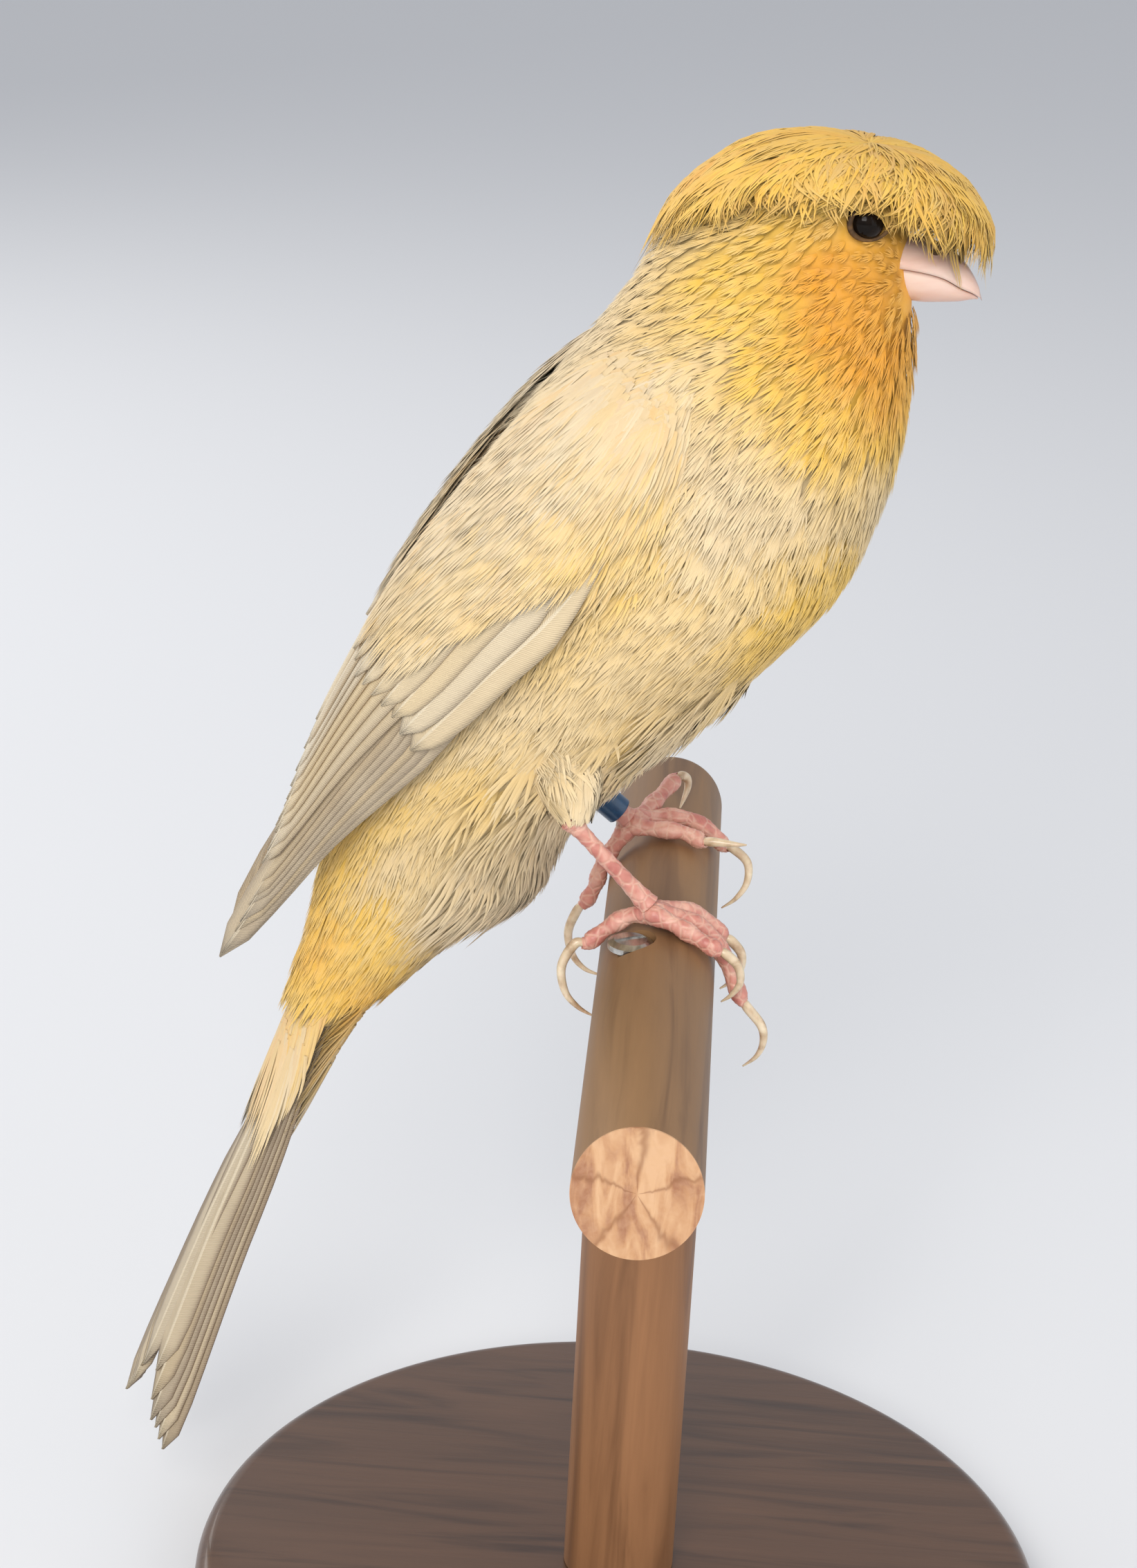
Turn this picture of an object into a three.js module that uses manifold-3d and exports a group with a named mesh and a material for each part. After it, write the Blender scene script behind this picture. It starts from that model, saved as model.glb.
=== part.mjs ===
// A crested canary on a short length of round wooden perch, held by a turned wooden display stand.
// Millimetres, +Z up. The origin is the middle of the underside of the stand's base. The bird faces +X.
// The bird is laid out in its own frame, whose origin is on the perch's axis under the bird's mid-plane:
// +X is forward and +Y is the bird's left.
import * as THREE from 'three'
import { mergeVertices } from 'three/addons/utils/BufferGeometryUtils.js'
import Module from 'manifold-3d'

const wasm = await Module()
wasm.setup()

// Driving dimensions
const GAP = 0.3
const PERCH_RADIUS = 7.5
const PERCH_NEAR_Y = -71
const PERCH_FAR_Y = 49
const PERCH_CUT_TILT = 0.19
const PERCH_HEIGHT = 97
const POST_Y = -14.5
const POST_SIDES = 32
const BASE_RADIUS = 58
const BASE_THICKNESS = 9
const BASE_EDGE = 2.5

const EYE_RADIUS = 2.3
const EYE_CENTRE = [18.9, 7.0, 96.9]
const LID = { radius: 2.75, tube: 0.5, long: 1.12, high: 0.86, turn: 0.42, shift: [0.55, 1.15, 0.1] }

const BODY_SIDES = 24
const BODY_STEPS = 2

// The bird's side outline: pairs of points, on the back and on the front, with half the width between them
const OUTLINE = [
  { back: [9.0, 103.4], front: [17.6, 103.2], half: 4.2 },
  { back: [3.2, 100.8], front: [22.0, 100.3], half: 7.6 },
  { back: [-1.0, 97.4], front: [24.6, 96.6], half: 9.2 },
  { back: [-4.2, 94.0], front: [25.9, 92.6], half: 10.3 },
  { back: [-6.6, 90.4], front: [26.2, 89.0], half: 11.3 },
  { back: [-8.8, 86.4], front: [26.6, 85.2], half: 12.6 },
  { back: [-12.2, 81.6], front: [26.7, 79.8], half: 14.8 },
  { back: [-16.2, 76.2], front: [26.5, 73.4], half: 17.2 },
  { back: [-20.4, 70.2], front: [25.7, 66.4], half: 19.2 },
  { back: [-24.8, 63.6], front: [23.7, 58.6], half: 20.4 },
  { back: [-29.2, 56.4], front: [20.4, 50.2], half: 20.8 },
  { back: [-33.0, 49.2], front: [15.7, 43.9], half: 20.4 },
  { back: [-36.2, 42.0], front: [9.4, 37.2], half: 19.2 },
  { back: [-38.9, 34.8], front: [2.6, 30.4], half: 17.6 },
  { back: [-41.0, 27.4], front: [-4.6, 24.0], half: 15.6 },
  { back: [-42.6, 20.0], front: [-10.6, 18.6], half: 13.4 },
  { back: [-43.8, 12.6], front: [-15.0, 12.4], half: 11.2 },
  { back: [-45.2, 5.4], front: [-18.2, 5.0], half: 9.2 },
  { back: [-46.6, -2.0], front: [-26.0, -1.6], half: 7.4 },
  { back: [-48.8, -10.0], front: [-33.6, -9.0], half: 5.8 },
]
const HEAD_END = 5.4
const NECK_END = 7.4

// One ring of the body at a place along the outline, grown by some millimetres and moved along its own axis
function bodyFrame(place) {
  const last = OUTLINE.length - 1
  const cell = Math.min(Math.floor(place), last - 1)
  const t = place - cell
  const pick = (read) => {
    const at = (i) => read(OUTLINE[Math.max(0, Math.min(last, i))])
    const [a, b, c, d] = [at(cell - 1), at(cell), at(cell + 1), at(cell + 2)]
    const square = (2 * a - 5 * b + 4 * c - d) * t * t
    const cube = (3 * b - a - 3 * c + d) * t ** 3
    return 0.5 * (2 * b + (c - a) * t + square + cube)
  }
  const back = new THREE.Vector3(pick((o) => o.back[0]), 0, pick((o) => o.back[1]))
  const front = new THREE.Vector3(pick((o) => o.front[0]), 0, pick((o) => o.front[1]))
  const across = front.clone().sub(back)
  const depth = across.length() / 2
  across.normalize()
  const along = new THREE.Vector3(across.z, 0, -across.x)
  return { centre: back.add(front).multiplyScalar(0.5), across, along, depth, half: pick((o) => o.half) }
}

function bodyRing(place, grow = 0, shift = 0) {
  const { centre, across, along, depth, half } = bodyFrame(place)
  const ring = []
  for (let i = 0; i < BODY_SIDES; i += 1) {
    const angle = (2 * Math.PI * i) / BODY_SIDES
    ring.push(centre.clone()
      .addScaledVector(across, (depth + grow) * Math.cos(angle))
      .addScaledVector(along, shift)
      .add(new THREE.Vector3(0, (half + grow) * Math.sin(angle), 0)))
  }
  return ring
}

// Solids from rings of points, and to and from the joining library

function middle(ring) {
  const sum = new THREE.Vector3()
  ring.forEach((point) => sum.add(point))
  return sum.divideScalar(ring.length)
}

// A closed body through rings of like points; each end closes on a point. A side in crossed is split the
// other way, so that the two faces of a thin body are split alike.
function loft(rings, start = middle(rings[0]), end = middle(rings[rings.length - 1]), crossed = []) {
  const sides = rings[0].length
  const points = [...rings.flat(), start, end]
  const faces = []
  for (let r = 0; r + 1 < rings.length; r += 1) {
    for (let i = 0; i < sides; i += 1) {
      const j = (i + 1) % sides
      const [a, b, c, d] = [r * sides + i, r * sides + j, (r + 1) * sides + j, (r + 1) * sides + i]
      faces.push(...(crossed.includes(i) ? [a, b, d, b, c, d] : [a, b, c, a, c, d]))
    }
  }
  const lastRing = (rings.length - 1) * sides
  for (let i = 0; i < sides; i += 1) {
    const j = (i + 1) % sides
    faces.push(points.length - 2, j, i, points.length - 1, lastRing + i, lastRing + j)
  }
  const geometry = new THREE.BufferGeometry()
  geometry.setAttribute('position', new THREE.Float32BufferAttribute(points.flatMap((p) => p.toArray()), 3))
  geometry.setIndex(faces)
  return toSolid(geometry)
}

function toSolid(geometry) {
  const bare = geometry.clone()
  bare.deleteAttribute('normal')
  bare.deleteAttribute('uv')
  const merged = mergeVertices(bare, 1e-4)
  const build = (triVerts) => new wasm.Manifold(new wasm.Mesh({
    numProp: 3,
    vertProperties: Float32Array.from(merged.attributes.position.array),
    triVerts,
  }))
  const faces = Uint32Array.from(merged.index.array)
  const solid = build(faces)
  if (solid.volume() > 0) return solid
  for (let i = 0; i < faces.length; i += 3) {
    [faces[i], faces[i + 1]] = [faces[i + 1], faces[i]]
  }
  return build(faces)
}

function toGeometry(solid) {
  const pieces = solid.decompose().sort((a, b) => b.volume() - a.volume())
  const mesh = pieces[0].getMesh()
  const geometry = new THREE.BufferGeometry()
  geometry.setAttribute('position', new THREE.BufferAttribute(Float32Array.from(mesh.vertProperties), 3))
  geometry.setIndex(new THREE.BufferAttribute(Uint32Array.from(mesh.triVerts), 1))
  return geometry
}

function join(solids) {
  return solids.reduce((whole, piece) => whole.add(piece))
}

// A seeded draw between -1 and 1
function draws(seed) {
  let state = seed
  return () => {
    state = (state * 1664525 + 1013904223) % 4294967296
    return state / 2147483648 - 1
  }
}

const BLADE_STOPS = [0, 0.4, 0.76, 0.94]
const roundTip = (t) => Math.sqrt(Math.max(0, 1 - Math.max(0, (t - 0.6) / 0.42) ** 2))
const vaneShape = (t) => Math.min(1, 0.6 + 1.6 * t) * roundTip(t)
const lockShape = (t) => Math.min(1, 0.7 + t) * (1 - 0.82 * Math.max(0, t - 0.35) / 0.65)

// One feather vane or lock: a thin blade that tapers to a point along a line on a sheet. Its two edges lie at
// their own lifts, so that neighbours overlap like shingles.
function blade(sheet, options) {
  const { from, to, width, sway = 0, lift = 0, sink = 0.6 } = options
  const { tilt = 0, thick = 0.36, shape = vaneShape } = options
  const place = (t) => [
    from[0] + (to[0] - from[0]) * t,
    from[1] + (to[1] - from[1]) * t + sway * Math.sin(Math.PI * t) * 0.5 + sway * t * t,
  ]
  const spot = (t, rise) => {
    const [u, v] = place(t)
    return sheet(u, v, rise)
  }
  const rings = BLADE_STOPS.map((t) => {
    const rise = lift - sink * Math.max(0, 1 - t * 4)
    const centre = spot(t, rise)
    const out = spot(t, rise + 0.5).sub(centre).normalize()
    const along = spot(t + 0.02, rise).sub(spot(t - 0.02, rise)).normalize()
    const side = new THREE.Vector3().crossVectors(out, along).multiplyScalar((width / 2) * shape(t))
    const body = out.clone().multiplyScalar(thick * (1 - 0.5 * t))
    const lean = out.clone().multiplyScalar((tilt / 2) * shape(t))
    return [
      centre.clone().add(side).add(lean), centre.clone().add(body),
      centre.clone().sub(side).sub(lean), centre.clone().sub(body),
    ]
  })
  return loft(rings, undefined, spot(1, lift), [2, 3])
}

// A tier of blades side by side between two rows of roots and tips, each given for its first and last blade
function tier(sheet, { count, root, tip, vary = 0.02, seed, ...rest }) {
  const draw = draws(seed)
  const between = ([a, b], t) => [a[0] + (b[0] - a[0]) * t, a[1] + (b[1] - a[1]) * t]
  return Array.from({ length: count }, (_, i) => {
    const t = i / (count - 1)
    const [along, across] = between(tip, t)
    const to = [along + vary * draw(), across + vary * draw()]
    return blade(sheet, { ...rest, from: between(root, t), to })
  })
}

// Bodies of revolution and round limbs

function lathe(profile, sides, turn = 0) {
  const points = profile.map(([radius, height]) => new THREE.Vector2(radius, height))
  const geometry = new THREE.LatheGeometry(points, sides)
  geometry.rotateX(Math.PI / 2)
  geometry.rotateZ(turn)
  return geometry
}

// A round limb through points, with a radius at each, flat at both ends unless a tip is asked for
function limb(points, radii, { sides = 6, steps = 2, pointed = false } = {}) {
  const curve = new THREE.CatmullRomCurve3(points, false, 'centripetal')
  const count = (points.length - 1) * steps
  const rings = []
  let tangent = curve.getTangent(0)
  let normal = new THREE.Vector3(0, 1, 0).addScaledVector(tangent, -tangent.y).normalize()
  for (let k = 0; k <= count; k += 1) {
    const place = k / steps
    const next = curve.getTangent(k / count)
    normal.applyQuaternion(new THREE.Quaternion().setFromUnitVectors(tangent, next))
    tangent = next
    const side = new THREE.Vector3().crossVectors(tangent, normal)
    const low = Math.min(Math.floor(place), radii.length - 2)
    const radius = THREE.MathUtils.lerp(radii[low], radii[low + 1], place - low)
    const centre = curve.getPoint(k / count)
    const ring = []
    for (let i = 0; i < sides; i += 1) {
      const angle = (2 * Math.PI * (i + 0.5)) / sides
      ring.push(centre.clone()
        .addScaledVector(normal, radius * Math.cos(angle))
        .addScaledVector(side, radius * Math.sin(angle)))
    }
    rings.push(ring)
  }
  if (!pointed) return loft(rings)
  return loft(rings.slice(0, -1), undefined, points[points.length - 1])
}

const vector = ([x, y, z]) => new THREE.Vector3(x, y, z)
const mirrored = ([x, y, z], side) => new THREE.Vector3(x, y * side, z)

// Torso, neck and head

function bodyLength(from, to, grow = 0, ends = 0) {
  const count = Math.round((to - from) * BODY_STEPS)
  const rings = []
  for (let k = 0; k <= count; k += 1) {
    const place = from + ((to - from) * k) / count
    const shift = k === 0 ? ends : k === count ? -ends : 0
    rings.push(bodyRing(place, grow, shift))
  }
  return rings
}

const LAST = OUTLINE.length - 1
const CROWN = new THREE.Vector3(13.2, 0, 104.3)
const torsoBody = loft(bodyLength(NECK_END, LAST, 0, GAP / 2))
const neckBody = loft(bodyLength(HEAD_END, NECK_END, 0, GAP / 2))
const headBody = loft(bodyLength(0, HEAD_END, 0, 0), CROWN)
const raisedCrown = (grow) => CROWN.clone().add(new THREE.Vector3(0, 0, grow))
const wholeBody = (grow) => {
  const last = bodyRing(LAST, grow, grow)
  return loft([...bodyLength(0, LAST, grow, 0), last], raisedCrown(grow), middle(last))
}
const bodyRoom = wholeBody(GAP)

function ball(centre, radius, detail = 12) {
  const geometry = new THREE.SphereGeometry(radius, detail, detail / 2)
  geometry.translate(centre.x, centre.y, centre.z)
  return toSolid(geometry)
}

// The lids are a low rim round each eye, and the eye sits in a socket
function lidRim(side, grow = 0) {
  const centre = mirrored(EYE_CENTRE, side)
  const shift = mirrored(LID.shift, side)
  const rim = new THREE.TorusGeometry(LID.radius, LID.tube + grow, 5, 14)
  rim.scale(LID.long, LID.high, 1)
  rim.rotateX(Math.PI / 2)
  rim.rotateZ(side * LID.turn)
  rim.translate(centre.x + shift.x, centre.y + shift.y, centre.z + shift.z)
  return toSolid(rim)
}

function withEye(head, side) {
  return head.add(lidRim(side)).subtract(ball(mirrored(EYE_CENTRE, side), EYE_RADIUS + GAP))
}

// Bill: stations from the face to the tip, each with the culmen, the mouth line, the keel and half widths
const BILL = [
  { x: 23.5, culmen: 94.6, mouth: 90.9, keel: 86.7, upper: 4.5, lower: 3.8 },
  { x: 26.5, culmen: 94.2, mouth: 90.5, keel: 86.3, upper: 4.2, lower: 3.5 },
  { x: 29.0, culmen: 93.3, mouth: 89.8, keel: 86.4, upper: 3.5, lower: 2.9 },
  { x: 31.2, culmen: 91.8, mouth: 88.6, keel: 86.6, upper: 2.6, lower: 2.0 },
  { x: 32.7, culmen: 90.0, mouth: 87.9, keel: 86.9, upper: 1.7, lower: 1.1 },
  { x: 33.6, culmen: 88.4, mouth: 87.3, keel: 87.0, upper: 0.9, lower: 0.4 },
]
const BILL_TIP = new THREE.Vector3(34.1, 0, 86.8)
const BILL_SIDES = 14
const NOSTRIL = { centre: [27.6, 2.7, 92.9], radius: 0.55 }

// Half of a bill: a rounded outer side and a flat one along the mouth
function billHalf(outer, inner, half, stations, tip, grow = 0) {
  const rings = stations.map((station) => {
    const ring = []
    for (let i = 0; i < BILL_SIDES; i += 1) {
      const angle = (2 * Math.PI * i) / BILL_SIDES
      const lift = Math.sin(angle)
      const height = lift > 0 ? (outer(station) - inner(station)) * lift ** 0.85 : 0
      const spread = lift > 0 ? Math.cos(angle) * (1 - 0.12 * lift) : Math.cos(angle)
      const sign = Math.sign(outer(station) - inner(station))
      ring.push(new THREE.Vector3(station.x,
        (half(station) + grow) * spread,
        inner(station) + height + sign * grow * (lift > 0 ? lift : -1)))
    }
    return ring
  })
  return loft(rings, undefined, tip)
}

const upperBill = (grow = 0) => billHalf((b) => b.culmen, (b) => b.mouth + GAP / 2, (b) => b.upper, BILL,
  BILL_TIP.clone().add(new THREE.Vector3(grow, 0, -grow)), grow)
const lowerBill = (grow = 0) => billHalf((b) => b.keel, (b) => b.mouth - GAP / 2, (b) => b.lower,
  BILL.slice(0, -1), new THREE.Vector3(33.3 + grow, 0, 87.25), grow)

// Crest: locks lie in tiers from the crown out to the fringe, all round the head
const CREST = { centre: [19, 0, 104.6], middle: [14, 0], reach: [21.2, 12.4], side: 99.4, drop: 7.6 }

// Eyes
function eye(side) {
  return ball(mirrored(EYE_CENTRE, side), EYE_RADIUS, 12)
}

// A place on the crest: round it by angle, 0 to the front, and from its centre, 0, to the fringe, 1
function crestPoint(angle, out, lift = 0) {
  const centre = vector(CREST.centre)
  const cos = Math.cos(angle)
  const sin = Math.sin(angle)
  const tip = new THREE.Vector3(CREST.middle[0] + CREST.reach[0] * cos, -CREST.reach[1] * sin,
    CREST.side - CREST.drop * cos * cos)
  const bulge = new THREE.Vector3(
    THREE.MathUtils.lerp(centre.x, tip.x, cos < 0 ? 0.62 : 0.8),
    tip.y * 0.86,
    CREST.centre[2] + (cos < 0 ? 3.4 : -1.4) * cos * cos + 0.6)
  const a = centre.multiplyScalar((1 - out) ** 2)
  const point = a.addScaledVector(bulge, 2 * out * (1 - out)).addScaledVector(tip, out * out)
  const outward = new THREE.Vector3(point.x - 14, point.y, (point.z - 92) * 0.9).normalize()
  return point.addScaledVector(outward, lift)
}

const crestSheet = (out, angle, lift) => crestPoint(angle, out, lift)

// The core under the locks, round the crown only
function crestCore(reach, top, thickness) {
  const rings = []
  const sides = 16
  const stops = [0.2, 0.6, 1].map((stop) => stop * reach)
  const angles = Array.from({ length: sides }, (_, i) => (2 * Math.PI * i) / sides)
  const ring = (out, lift) => angles.map((angle) => crestPoint(angle, out, lift))
  stops.forEach((out) => rings.push(ring(out, top)))
  stops.reverse().forEach((out) => rings.push(ring(out, top - thickness)))
  return loft(rings, crestPoint(0, 0, top), crestPoint(0, 0, top - thickness))
}

const CREST_TIERS = [
  { count: 20, from: 0.38, to: 0.98, width: 6.6, lift: 0.1, seed: 11 },
  { count: 13, from: 0.24, to: 0.8, width: 6.4, lift: 0.75, seed: 23 },
  { count: 7, from: 0.08, to: 0.54, width: 5.6, lift: 1.2, seed: 37 },
]

function crestLocks() {
  return CREST_TIERS.flatMap(({ count, from, to, width, lift, seed }) => {
    const draw = draws(seed)
    return Array.from({ length: count }, (_, i) => {
      const angle = (2 * Math.PI * (i + 0.3 * draw())) / count
      return blade(crestSheet, {
        from: [from, angle], to: [to + 0.06 * draw(), angle], sway: 0.12 * draw(),
        width: width * (1 + 0.15 * draw()), lift: lift + 0.2 * draw(),
        tilt: 0.5, shape: lockShape, thick: 0.42,
      })
    })
  })
}

// Wings: a sheet between the edge along the back and the edge along the flank, bulging round the body
const WING_BACK = [
  [-10.5, 7.5, 80.0], [-19.5, 8.0, 70.2], [-26.8, 7.0, 60.5], [-33.6, 5.0, 50.0], [-39.6, 3.6, 39.0],
  [-44.6, 3.2, 28.0], [-49.2, 3.2, 16.0], [-54.2, 3.4, 3.6], [-58.4, 3.6, -6.6],
]
const WING_FLANK = [
  [1.5, 18.6, 72.0], [-4.6, 21.6, 60.5], [-12.0, 21.8, 49.0], [-20.6, 20.6, 40.2], [-28.4, 18.4, 31.6],
  [-36.2, 15.4, 23.4], [-43.8, 12.2, 15.2], [-51.0, 8.6, 5.0], [-58.0, 4.6, -6.4],
]
const wingBack = new THREE.CatmullRomCurve3(WING_BACK.map(vector))
const wingFlank = new THREE.CatmullRomCurve3(WING_FLANK.map(vector))

// A place on the left wing's outer side: along it from shoulder to tip, and across it from back to flank
function wingSheet(along, across) {
  const back = wingBack.getPoint(along)
  const flank = wingFlank.getPoint(along)
  const corner = new THREE.Vector3(
    back.x * 0.9 + flank.x * 0.1, flank.y * 0.97, back.z * 0.9 + flank.z * 0.1)
  return back.multiplyScalar((1 - across) ** 2)
    .addScaledVector(corner, 2 * across * (1 - across))
    .addScaledVector(flank, across * across)
}

function wingPoint(along, across, lift) {
  const step = 0.01
  const u = Math.min(Math.max(along, step), 1 - 2 * step)
  const v = Math.min(Math.max(across, step), 1 - step)
  const du = wingSheet(u + step, v).sub(wingSheet(u - step, v))
  const dv = wingSheet(u, v + step).sub(wingSheet(u, v - step))
  const out = new THREE.Vector3().crossVectors(dv, du).normalize()
  return wingSheet(Math.min(along, 1), across).addScaledVector(out, lift)
}

// A closed slab over part of a sheet, from one lift to another
function slab(point, [uFrom, uTo], [vFrom, vTo], low, high, [uSteps, vSteps]) {
  const rings = []
  for (let i = 0; i <= uSteps; i += 1) {
    const u = uFrom + ((uTo - uFrom) * i) / uSteps
    const ring = []
    for (let j = 0; j <= vSteps; j += 1) ring.push(point(u, vFrom + ((vTo - vFrom) * j) / vSteps, high))
    for (let j = vSteps; j >= 0; j -= 1) ring.push(point(u, vFrom + ((vTo - vFrom) * j) / vSteps, low))
    rings.push(ring)
  }
  const crossed = Array.from({ length: vSteps }, (_, j) => vSteps + 1 + j)
  return loft(rings, middle(rings[0]), middle(rings[rings.length - 1]), crossed)
}

const WING_TIERS = [
  {
    count: 6, root: [[0.34, 0.95], [0.42, 0.6]], tip: [[0.98, 0.9], [0.8, 0.42]],
    width: 5.0, lift: 0.2, seed: 3,
  },
  {
    count: 5, root: [[0.3, 0.68], [0.24, 0.12]], tip: [[0.8, 0.42], [0.68, 0.12]],
    width: 7.0, lift: 0.8, seed: 5,
  },
  {
    count: 5, root: [[0.16, 0.9], [0.14, 0.12]], tip: [[0.5, 0.9], [0.5, 0.14]],
    width: 7.0, lift: 1.3, seed: 7,
  },
]

// The left wing: the shoulder and the arm, then primaries, secondaries and a row of coverts
function wing() {
  const arm = slab(wingPoint, [0.03, 0.72], [0.03, 0.97], -1.4, 0.25, [8, 5])
  const shoulder = slab(wingPoint, [0.02, 0.26], [0.05, 0.95], -1.0, 1.7, [3, 5])
  const feathers = WING_TIERS.flatMap((row) => tier(wingPoint, { ...row, tilt: 0.9 }))
  return join([arm, shoulder, ...feathers]).subtract(bodyRoom)
}

// Tail: a sheet from the rump to the fork, rolled so that the bird's right side hangs lower
const TAIL_LINE = [
  [-40.4, 0, -6], [-46.0, 0, -16], [-52.4, 0, -32], [-58.6, 0, -48], [-64.2, 0, -64], [-70.0, 0, -81],
]
const TAIL_ROLL = 0.62
const tailLine = new THREE.CatmullRomCurve3(TAIL_LINE.map(vector))

// A place on the tail's upper side: along it, and across from right, -1, to left, 1
function tailPoint(along, across, lift) {
  const reach = Math.min(Math.max(along, 0), 1)
  const centre = tailLine.getPoint(reach)
  const tangent = tailLine.getTangent(reach)
  const up = new THREE.Vector3(tangent.z, 0, -tangent.x)
  const roll = TAIL_ROLL * Math.min(1, 0.2 + 1.6 * reach)
  const left = new THREE.Vector3(0, 1, 0)
  const side = left.clone().multiplyScalar(Math.cos(roll)).addScaledVector(up, Math.sin(roll))
  const out = up.clone().multiplyScalar(Math.cos(roll)).addScaledVector(left, -Math.sin(roll))
  const half = 4.6 + 2.4 * reach
  return centre.addScaledVector(side, half * across).addScaledVector(out, lift - 0.9 * across * across)
}

const RECTRICES = 5
const TAIL_COVERTS = [
  {
    count: 3, root: [[-0.02, -0.6], [-0.02, 0.6]], tip: [[0.32, -0.7], [0.34, 0.6]],
    width: 6.0, lift: 1.9, seed: 41,
  },
  {
    count: 3, root: [[-0.02, -0.6], [-0.02, 0.6]], tip: [[0.38, -0.6], [0.26, 0.7]],
    width: 6.0, lift: -2.0, seed: 43,
  },
]

// Tail feathers overlap from the middle pair, which lies on top, out to the longest outer pair
function tailFeathers() {
  const draw = draws(61)
  const pairs = [-1, 1].flatMap((side) => Array.from({ length: RECTRICES }, (_, i) => {
    const out = i / (RECTRICES - 1)
    return blade(tailPoint, {
      from: [0.0, side * 0.4 * out],
      to: [0.86 + 0.13 * out ** 0.7 + 0.01 * draw(), side * (0.34 + 0.6 * out)],
      width: 5.4 - 0.8 * out, lift: 0.9 - 1.6 * out, tilt: side * 0.5, thick: 0.34,
    })
  }))
  return [...pairs, ...TAIL_COVERTS.flatMap((row) => tier(tailPoint, row))]
}

function tail() {
  const root = loft([
    bodyRing(LAST, 0, GAP), bodyRing(LAST, -1.0, 6), bodyRing(LAST, -2.6, 12),
  ], undefined, new THREE.Vector3(-50, 0, -26))
  return join([root, ...tailFeathers()]).subtract(bodyRoom)
}

// Thighs: short loose feathering from the belly to the ankle
const LEGS = {
  right: {
    hip: [-14.0, -10.5, 32.0], ankle: [-11.0, -14.4, 20.2], foot: [-1.4, -15.2, 10.6],
    toes: {
      hind: [[-8, 9.6, -15.2], [-24, 9.4, -14.3], [-44, 9.3, -14.2], [-62, 9.9, -14.4]],
      outer: [[-6, 9.7, -15.6], [14, 9.1, -16.8], [33, 9.0, -17.4], [50, 9.7, -17.6]],
      middle: [[-6, 9.7, -15.0], [20, 9.1, -13.9], [46, 9.1, -13.4], [72, 9.3, -13.6], [98, 11.0, -14.4]],
      inner: [[-8, 9.6, -14.6], [14, 9.1, -11.6], [38, 9.1, -10.2], [60, 9.4, -9.6]],
    },
    claws: {
      hind: [
        [-68, 11.4, -14.6], [-84, 12.1, -15.0], [-100, 11.6, -15.4], [-113, 10.5, -15.4], [-125, 9.2, -15.4],
      ],
      outer: [[57, 10.4, -17.6], [68, 11.1, -17.6], [80, 10.9, -17.4], [90, 9.8, -17.2], [98, 8.6, -17.0]],
      middle: [
        [104, 12.4, -14.6], [111, 14.9, -14.6], [118, 16.2, -14.5], [126, 16.8, -14.2], [134, 16.6, -14.0],
      ],
      inner: [[67, 10.2, -9.6], [78, 11.0, -9.6], [89, 10.8, -9.8], [99, 9.8, -10.0], [107, 8.7, -10.2]],
    },
  },
  left: {
    hip: [-18.0, 9.5, 30.0], ankle: [-16.4, 13.6, 19.4], foot: [-5.4, 15.0, 10.1],
    toes: {
      hind: [[-32, 10.2, 14.8], [-50, 9.3, 14.2], [-70, 9.1, 14.0], [-88, 9.2, 14.2], [-102, 10.6, 14.2]],
      outer: [[-26, 10.6, 15.6], [-17, 10.4, 18.6], [-7, 11.0, 21.8], [2.5, 12.1, 25.2]],
      middle: [[-26, 10.6, 15.4], [-8, 9.3, 18.4], [16, 9.2, 19.4], [40, 9.1, 20.2], [58, 9.2, 20.4]],
      inner: [[-28, 10.4, 14.8], [-10, 9.2, 14.3], [12, 9.1, 14.3], [31, 9.2, 14.0]],
    },
    claws: {
      hind: [
        [-108, 12.2, 14.2], [-119, 14.4, 14.2], [-131, 15.7, 14.2], [-141, 15.9, 14.2], [-150, 15.2, 14.2],
      ],
      outer: [
        [6.5, 12.6, 26.0], [10.5, 12.2, 26.4], [12.5, 11.0, 26.2], [11.8, 9.6, 25.4], [10.2, 8.4, 24.4],
      ],
      middle: [[63, 10.2, 20.2], [76, 11.6, 19.8], [90, 11.4, 19.4], [103, 10.3, 19.0], [115, 9.0, 18.8]],
      inner: [[36, 9.9, 13.7], [41, 10.7, 13.5], [46, 11.6, 13.3], [50, 12.6, 13.1], [53, 13.6, 13.0]],
    },
  },
}
const TOE_RADII = [1.35, 1.15, 1.15, 1.05, 1.0]
const CLAW_RADII = [0.78, 0.72, 0.58, 0.4, 0.2]
const TARSUS_RADII = [1.15, 1.0, 1.25]
const THIGH_RADII = [5.0, 5.4, 4.0, 2.2]

// A place on the perch: the angle round it from the top towards the front, the distance from its axis, and Y
function gripPoint([degrees, distance, y]) {
  const angle = THREE.MathUtils.degToRad(degrees)
  return new THREE.Vector3(distance * Math.sin(angle), y, distance * Math.cos(angle))
}

function toe(leg, name) {
  const points = leg.toes[name].map(gripPoint)
  const sole = vector(leg.foot).add(new THREE.Vector3(0, 0, -0.9))
  return limb([sole, ...points], [1.4, ...TOE_RADII], { sides: 6, steps: 1 })
}

function claw(leg, name) {
  const root = gripPoint(leg.toes[name][leg.toes[name].length - 1])
  const points = leg.claws[name].map(gripPoint)
  const start = root.lerp(points[0], 0.42)
  return limb([start, ...points], [0.85, ...CLAW_RADII], { sides: 5, steps: 1, pointed: true })
}

function foot(leg) {
  return join(Object.keys(leg.toes).map((name) => toe(leg, name)))
}

function tarsusPath(leg) {
  const foot = vector(leg.foot)
  const ankle = vector(leg.ankle)
  return [ankle, ankle.clone().lerp(foot, 0.5), foot]
}

// Nodes

const bird = new THREE.Group()
bird.position.set(0, -POST_Y, PERCH_HEIGHT)

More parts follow.
